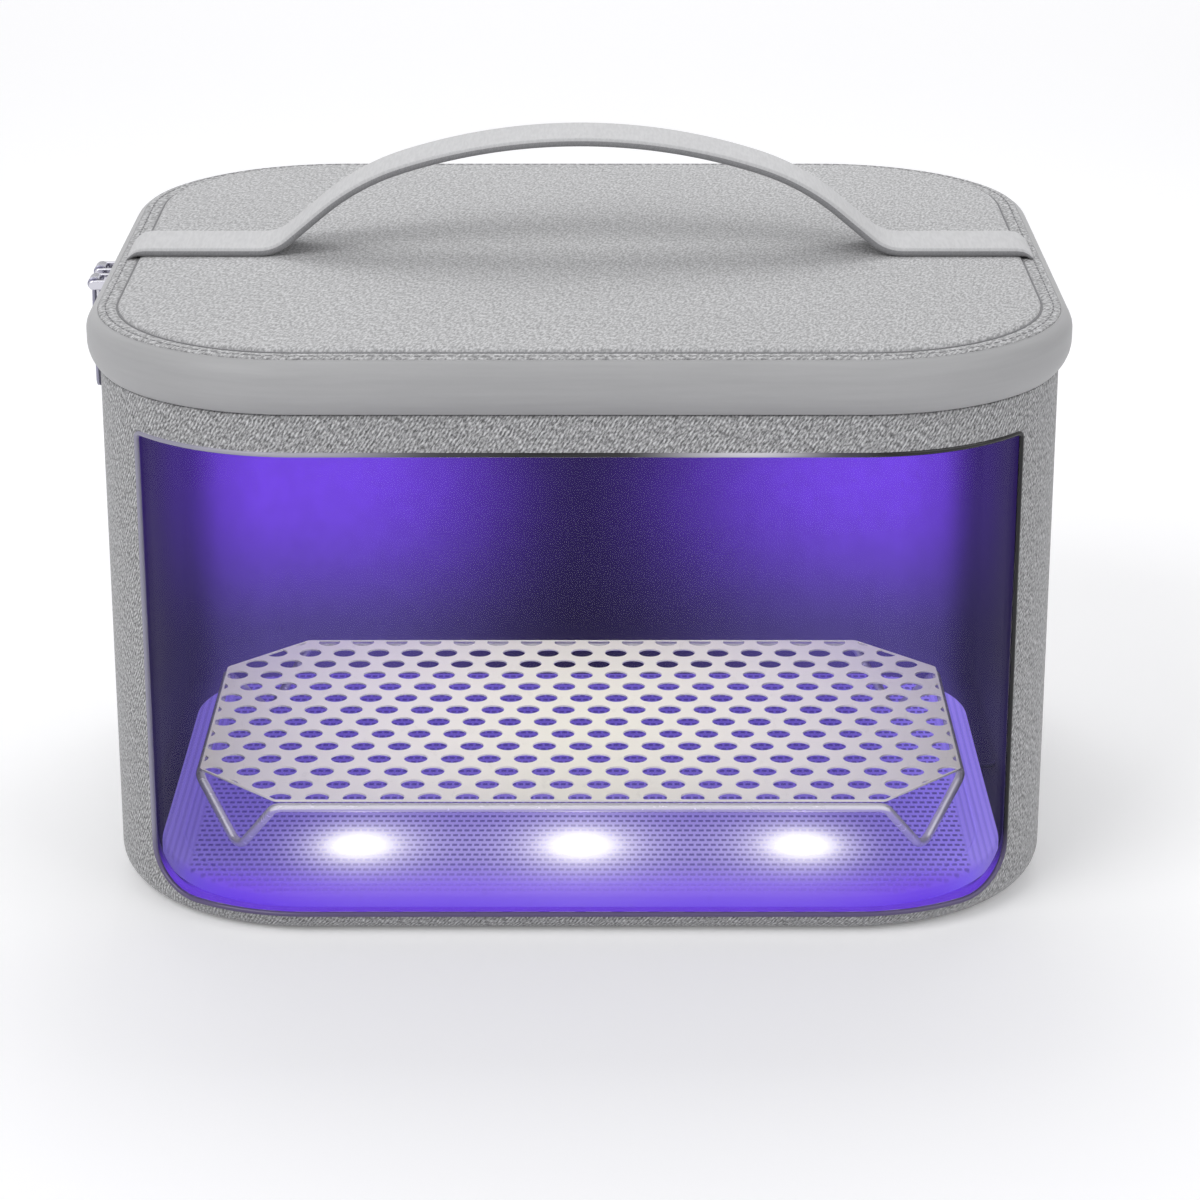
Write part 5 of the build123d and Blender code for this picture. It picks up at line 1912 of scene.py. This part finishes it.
@dataclass
class LampMat:
    """Mesh mat with the lamp board under it and three lamps that show through it."""

    lamp_places: tuple[float, ...] = (-0.072, 0.0, 0.072)
    lamp_y: float = -0.080
    plan: Plan = Plan(width=0.274, front=-0.118, back=0.076, front_corner=0.052, back_corner=0.038,
                      run_step=0.006)
    low: float = 0.005
    high: float = 0.010
    edge: float = 0.0015
    lamp_hole: float = 0.0055
    lamp_top: float = 0.0108

    def mat(self) -> Piece:
        """Builds the mat with its rounded rim and the holes for the lamps."""
        profile = list(reversed(self.plan.to_middle(0.0004, self.low, 4)))
        profile += [(0.0, self.low + 0.0006), (0.0, self.high - self.edge)]
        profile += arc((self.edge, self.high - self.edge), self.edge, 180, 90, 5)[1:]
        profile += [(0.0070, self.high), (0.0073, self.high - 0.0003), (0.0078, self.high - 0.0003),
                    (0.0081, self.high)]
        profile += self.plan.to_middle(0.010, self.high, 6)
        piece = self.plan.shell("lamp_mat", profile)
        for x in self.lamp_places:
            path = [(x, self.lamp_y, z) for z in (0.002, 0.02)]
            carve(piece, bar("hole", path, MAT, self.lamp_hole, 32))
        dress(piece, MAT, Body.BAG, "floor_mat")
        return piece

    def lamp(self, side: str, x: float) -> Piece:
        """Builds one lamp: a stepped base, a bright ring and a domed lens.

        Args:
            side: Name of the lamp.
            x: Its place across the bag.

        Returns:
            The lamp.
        """
        profile = [(0.0, 0.0066), (0.0046, 0.0066), (0.0046, 0.0080), (0.0044, 0.0082), (0.0036, 0.0082)]
        profile += arc((0.0, 0.00740), 0.00360, 12, 88, 10) + [(0.0, 0.0110)]
        turns = np.linspace(0, math.tau, 37)
        rows = np.array([
            [(x + r * math.cos(t), self.lamp_y + r * math.sin(t), min(z, self.lamp_top)) for t in turns[:-1]]
            for r, z in profile])
        piece = grid("lamp_" + side, rows, np.linspace(0, 0.02, 37), np.linspace(0, 0.01, len(rows)))
        return dress(piece, LENS, Body.BAG, "uv_led_" + side)

    def build(self) -> None:
        """Builds the mat's pieces."""
        self.mat()
        for side, x in zip(("left", "centre", "right"), self.lamp_places):
            self.lamp(side, x)
        refinish({"led_board": LAMINATE, "led_lead": SHEATH})


@dataclass
class PerforatedRack:
    """Perforated plate on one bent wire with a V foot under each cut corner."""

    half_width: float = 0.124
    front: float = -0.0947
    back: float = 0.051
    cut: float = 0.0265
    top: float = 0.032
    thickness: float = 0.0006
    wire_top: float = 0.031
    rim: float = 0.0007
    wire: float = 0.0015
    pitch: float = 0.012
    row_pitch: float = 0.01087
    row_inset: float = 0.0025
    hole: float = 0.0039
    notch: float = 0.0005
    bend: float = 0.004
    foot_bend: float = 0.0045
    mat_top: float = 0.010
    foot_gap: float = 0.0002
    hole_steps: int = 20
    play: float = 0.0002

    def outline(self, inset: float) -> Profile:
        """Corner points of the plate, anticlockwise, moved in by an inset."""
        x, c = self.half_width - inset, self.cut - inset * (2 - math.sqrt(2))
        front, back = self.front + inset, self.back - inset
        return [(-x + c, front), (x - c, front), (x, front + c), (x, back - c),
                (x - c, back), (-x + c, back), (-x, back - c), (-x, front + c)]

    def centres(self) -> Profile:
        """Centres of the plate's staggered holes."""
        reach = self.hole - self.notch - self.rim
        middle, depth = (self.front + self.back) / 2, self.back - self.front
        room = self.half_width + depth / 2 - self.cut + reach * math.sqrt(2)
        found = []
        for row in range(int((depth - self.row_inset + reach) / self.row_pitch) + 1):
            y = self.front + self.row_inset + row * self.row_pitch
            for column in range(-12, 13):
                x = (column + (0.5 if row % 2 else 0.0)) * self.pitch
                if abs(x) <= self.half_width + reach and abs(x) + abs(y - middle) <= room:
                    found.append((x, y))
        return found

    def clipped(self, centre: Point) -> Profile | None:
        """Part of a hole that lies inside the rim.

        Args:
            centre: Centre of the hole.

        Returns:
            The part's outline, or None where the whole hole is inside.
        """
        turns = np.linspace(0, math.tau, self.hole_steps + 1)[:-1]
        shape = [(centre[0] + self.hole * math.cos(t), centre[1] + self.hole * math.sin(t)) for t in turns]
        corners, whole = self.outline(self.rim), True
        for a, b in zip(corners, corners[1:] + corners[:1]):
            length = math.dist(a, b)
            nx, ny = (a[1] - b[1]) / length, (b[0] - a[0]) / length
            depths = [(p[0] - a[0]) * nx + (p[1] - a[1]) * ny for p in shape]
            if min(depths) >= self.play:
                continue
            whole, kept = False, []
            for p, q, dp, dq in zip(shape, shape[1:] + shape[:1], depths, depths[1:] + depths[:1]):
                if dp >= 0:
                    kept.append(p)
                if dp * dq < 0:
                    t = dp / (dp - dq)
                    kept.append((p[0] + (q[0] - p[0]) * t, p[1] + (q[1] - p[1]) * t))
            shape = kept
        return None if whole else shape

    def plate(self) -> Piece:
        """Builds the plate from its outline and its holes, cut off by the rim at the edges."""
        loops, whole = [rounded(self.outline(0.0), [0.003] * 8, 4)], []
        for centre in self.centres():
            part = self.clipped(centre)
            if part is None:
                whole.append(centre)
            elif len(part) > 2:
                loops.append(part)
        points: Profile = []
        edges: list[tuple[int, int]] = []
        for loop in loops:
            start = len(points)
            points += loop
            edges += [(start + i, start + (i + 1) % len(loop)) for i in range(len(loop))]
        flags = [False] * len(points) + [True] * len(whole)
        mesh = bpy.data.meshes.new("rack_sheet")
        mesh.from_pydata([(u, v, 0.0) for u, v in points + whole], edges, [])
        mesh.attributes.new("hole", "BOOLEAN", "POINT").data.foreach_set("value", flags)
        host = grow(link("rack_sheet", mesh), perforated_tree(), RACK_PAINT, {
            "Hole radius": self.hole, "Sides": self.hole_steps, "Thickness": self.thickness,
            "Place": (0.0, 0.0, self.top - self.thickness)})
        return dress(ease_edges(host, 0.00015, 2, 60), RACK_PAINT, Body.RACK, "rack_plate")

    def foot_height(self, wire_height: float) -> float:
        """Height of a foot's corner point at which its rounded bend just clears the mat."""
        low = self.mat_top + self.wire + self.foot_gap
        height = low
        for _ in range(12):
            slope = math.atan2(wire_height - height, self.cut / math.sqrt(2))
            height = low - self.foot_bend * (1 / math.cos(slope) - 1)
        return height

    def frame_wire(self) -> Piece:
        """Builds the bent wire as one closed loop."""
        x, c, z = self.half_width, self.cut, self.wire_top - self.wire
        low = self.foot_height(z)
        points = []
        for sx, sy in ((-1, -1), (-1, 1), (1, 1), (1, -1)):
            edge = self.front if sy < 0 else self.back
            foot = (sx * (x - c / 2), edge - sy * c / 2, low)
            leg = [(sx * (x - c), edge, z), foot, (sx * x, edge - sy * c, z)]
            points += leg if sx == sy else leg[::-1]
        bends = [self.bend, self.foot_bend, self.bend] * 4
        piece = bar("rack_wire", points, WIRE_METAL, self.wire, 16, True, bends)
        return dress(piece, WIRE_METAL, Body.RACK, "rack_wire_frame")

    def build(self) -> None:
        """Builds the rack's pieces."""
        self.plate()
        self.frame_wire()


@dataclass
class ControlUnit:
    """Switch and socket unit in the right wall."""

    button_y: float = -0.002
    height: float = 0.148
    cap_x: float = 0.1532
    mark_radius: float = 0.0026
    mark_line: float = 0.00028
    mark_gap: float = 0.62

    def power_mark(self) -> Piece:
        """Builds the plain on and off mark on the button: a broken ring and a bar."""
        turns = np.linspace(self.mark_gap, math.tau - self.mark_gap, 28)
        ring = [(self.mark_radius * math.sin(t), self.mark_radius * math.cos(t)) for t in turns]
        parts = []
        for line in (ring, [(0.0, 0.0012), (0.0, 0.0036)]):
            path = [(self.cap_x + 0.00002, self.button_y + u, self.height + v) for u, v in line]
            parts.append(bar("mark", path, MARK, self.mark_line))
        return dress(join("power_mark", parts), MARK, Body.BUTTON)

    def build(self) -> None:
        """Finishes the unit's solids and adds its mark."""
        refinish({
            "control_bezel": UNIT, "control_housing": UNIT, "control_board": LAMINATE, "control_screws": STEEL,
            "usb_socket": STEEL, "tact_switch": SWITCH, "switch_plunger": SWITCH, "power_button": BUTTON,
            "indicator_lens": INDICATOR, "reed_switch": REED_GLASS})
        self.power_mark()


@dataclass(frozen=True)
class Softbox:
    """Soft lamp: its place and the point that it faces, its face, its watts and its spread in degrees."""

    name: str
    place: tuple[float, float, float]
    aim: tuple[float, float, float]
    width: float
    depth: float
    power: float
    mirrored: bool = True
    tint: Colour = (1.0, 1.0, 1.0)
    spread: float = 180.0

    def hang(self) -> None:
        """Hangs the lamp, out of the camera's sight."""
        data = bpy.data.lights.new(self.name, "AREA")
        data.shape = "RECTANGLE"
        data.size, data.size_y = self.width, self.depth
        data.energy, data.color = self.power, self.tint
        data.spread = math.radians(self.spread)
        lamp = bpy.data.objects.new(self.name, data)
        lamp.location = self.place
        lamp.rotation_euler = (Vector(self.aim) - Vector(self.place)).to_track_quat("-Z", "Y").to_euler()
        lamp.visible_camera = lamp.visible_transmission = False
        lamp.visible_glossy = self.mirrored
        bpy.context.scene.collection.objects.link(lamp)


@dataclass
class Studio:
    """Pale floor, soft light and the camera."""

    camera_at: tuple[float, float, float] = (0.0064, -1.1525, 0.4821)
    pitch: float = 19.87
    lens: float = 108.0
    floor_half: float = 6.0
    lamps: tuple[Softbox, ...] = (
        Softbox("key", (-1.05, -1.1, 1.5), (0.0, 0.0, 0.10), 1.2, 1.2, 16.0),
        Softbox("fill", (1.3, -0.9, 1.0), (0.0, 0.0, 0.10), 1.4, 1.4, 6.8),
        Softbox("top", (0.0, 0.45, 1.0), (0.0, 0.06, 0.18), 0.4, 0.4, 2.2),
        Softbox("backdrop", (0.0, 2.3, 2.0), (0.0, 2.1, 0.0), 3.0, 1.6, 26.0, False),
        Softbox("inside", (0.0, -0.01, 0.166), (0.0, -0.01, 0.0), 0.22, 0.17, 0.16, False, (1.0, 0.99, 0.82),
                120.0),
    )

    def camera(self) -> None:
        """Sets the camera at the photograph's viewing angle."""
        data = bpy.data.cameras.new("view")
        data.lens, data.sensor_width, data.clip_start = self.lens, 36.0, 0.01
        camera = bpy.data.objects.new("view", data)
        camera.location = self.camera_at
        camera.rotation_euler = (math.radians(90 - self.pitch), 0.0, 0.0)
        bpy.context.scene.collection.objects.link(camera)
        bpy.context.scene.camera = camera

    def floor(self) -> None:
        """Lays the floor."""
        half = self.floor_half
        mesh = bpy.data.meshes.new("studio_floor")
        mesh.from_pydata([(x, y, 0) for x, y in rectangle(-half, half, -half, half)], [], [(0, 1, 2, 3)])
        mesh.materials.append(material_of(FLOOR))
        floor = link("studio_floor", mesh)

    def world(self) -> None:
        """Sets a plain pale surround, brighter where the camera sees it."""
        world = bpy.data.worlds.new("surround")
        bpy.context.scene.world = world
        world.use_nodes = True
        g = Graph(world.node_tree)
        sight = seen(g)
        g.feed(world.node_tree.nodes["Background"].inputs, {
            "Color": g.blend(sight, (0.80, 0.80, 0.82, 1.0), (0.98, 0.98, 0.985, 1.0)),
            "Strength": g.maths("MULTIPLY_ADD", sight, 0.53, 0.47)})

    def build(self) -> None:
        """Sets up the studio."""
        self.camera()
        self.floor()
        self.world()
        for lamp in self.lamps:
            lamp.hang()
        bpy.context.scene.view_settings.view_transform = "Standard"


def main() -> None:
    """Builds the studio and every sub-assembly, in order."""
    logging.basicConfig(level=logging.INFO, format="%(message)s")
    parts = (Studio, BagBody, Lid, CarryStrap, ZipClosure, FabricHinge, LampMat, PerforatedRack, ControlUnit)
    for part in parts:
        LOG.info("building %s", part.__name__)
        part().build()


if __name__ == "__main__":
    main()
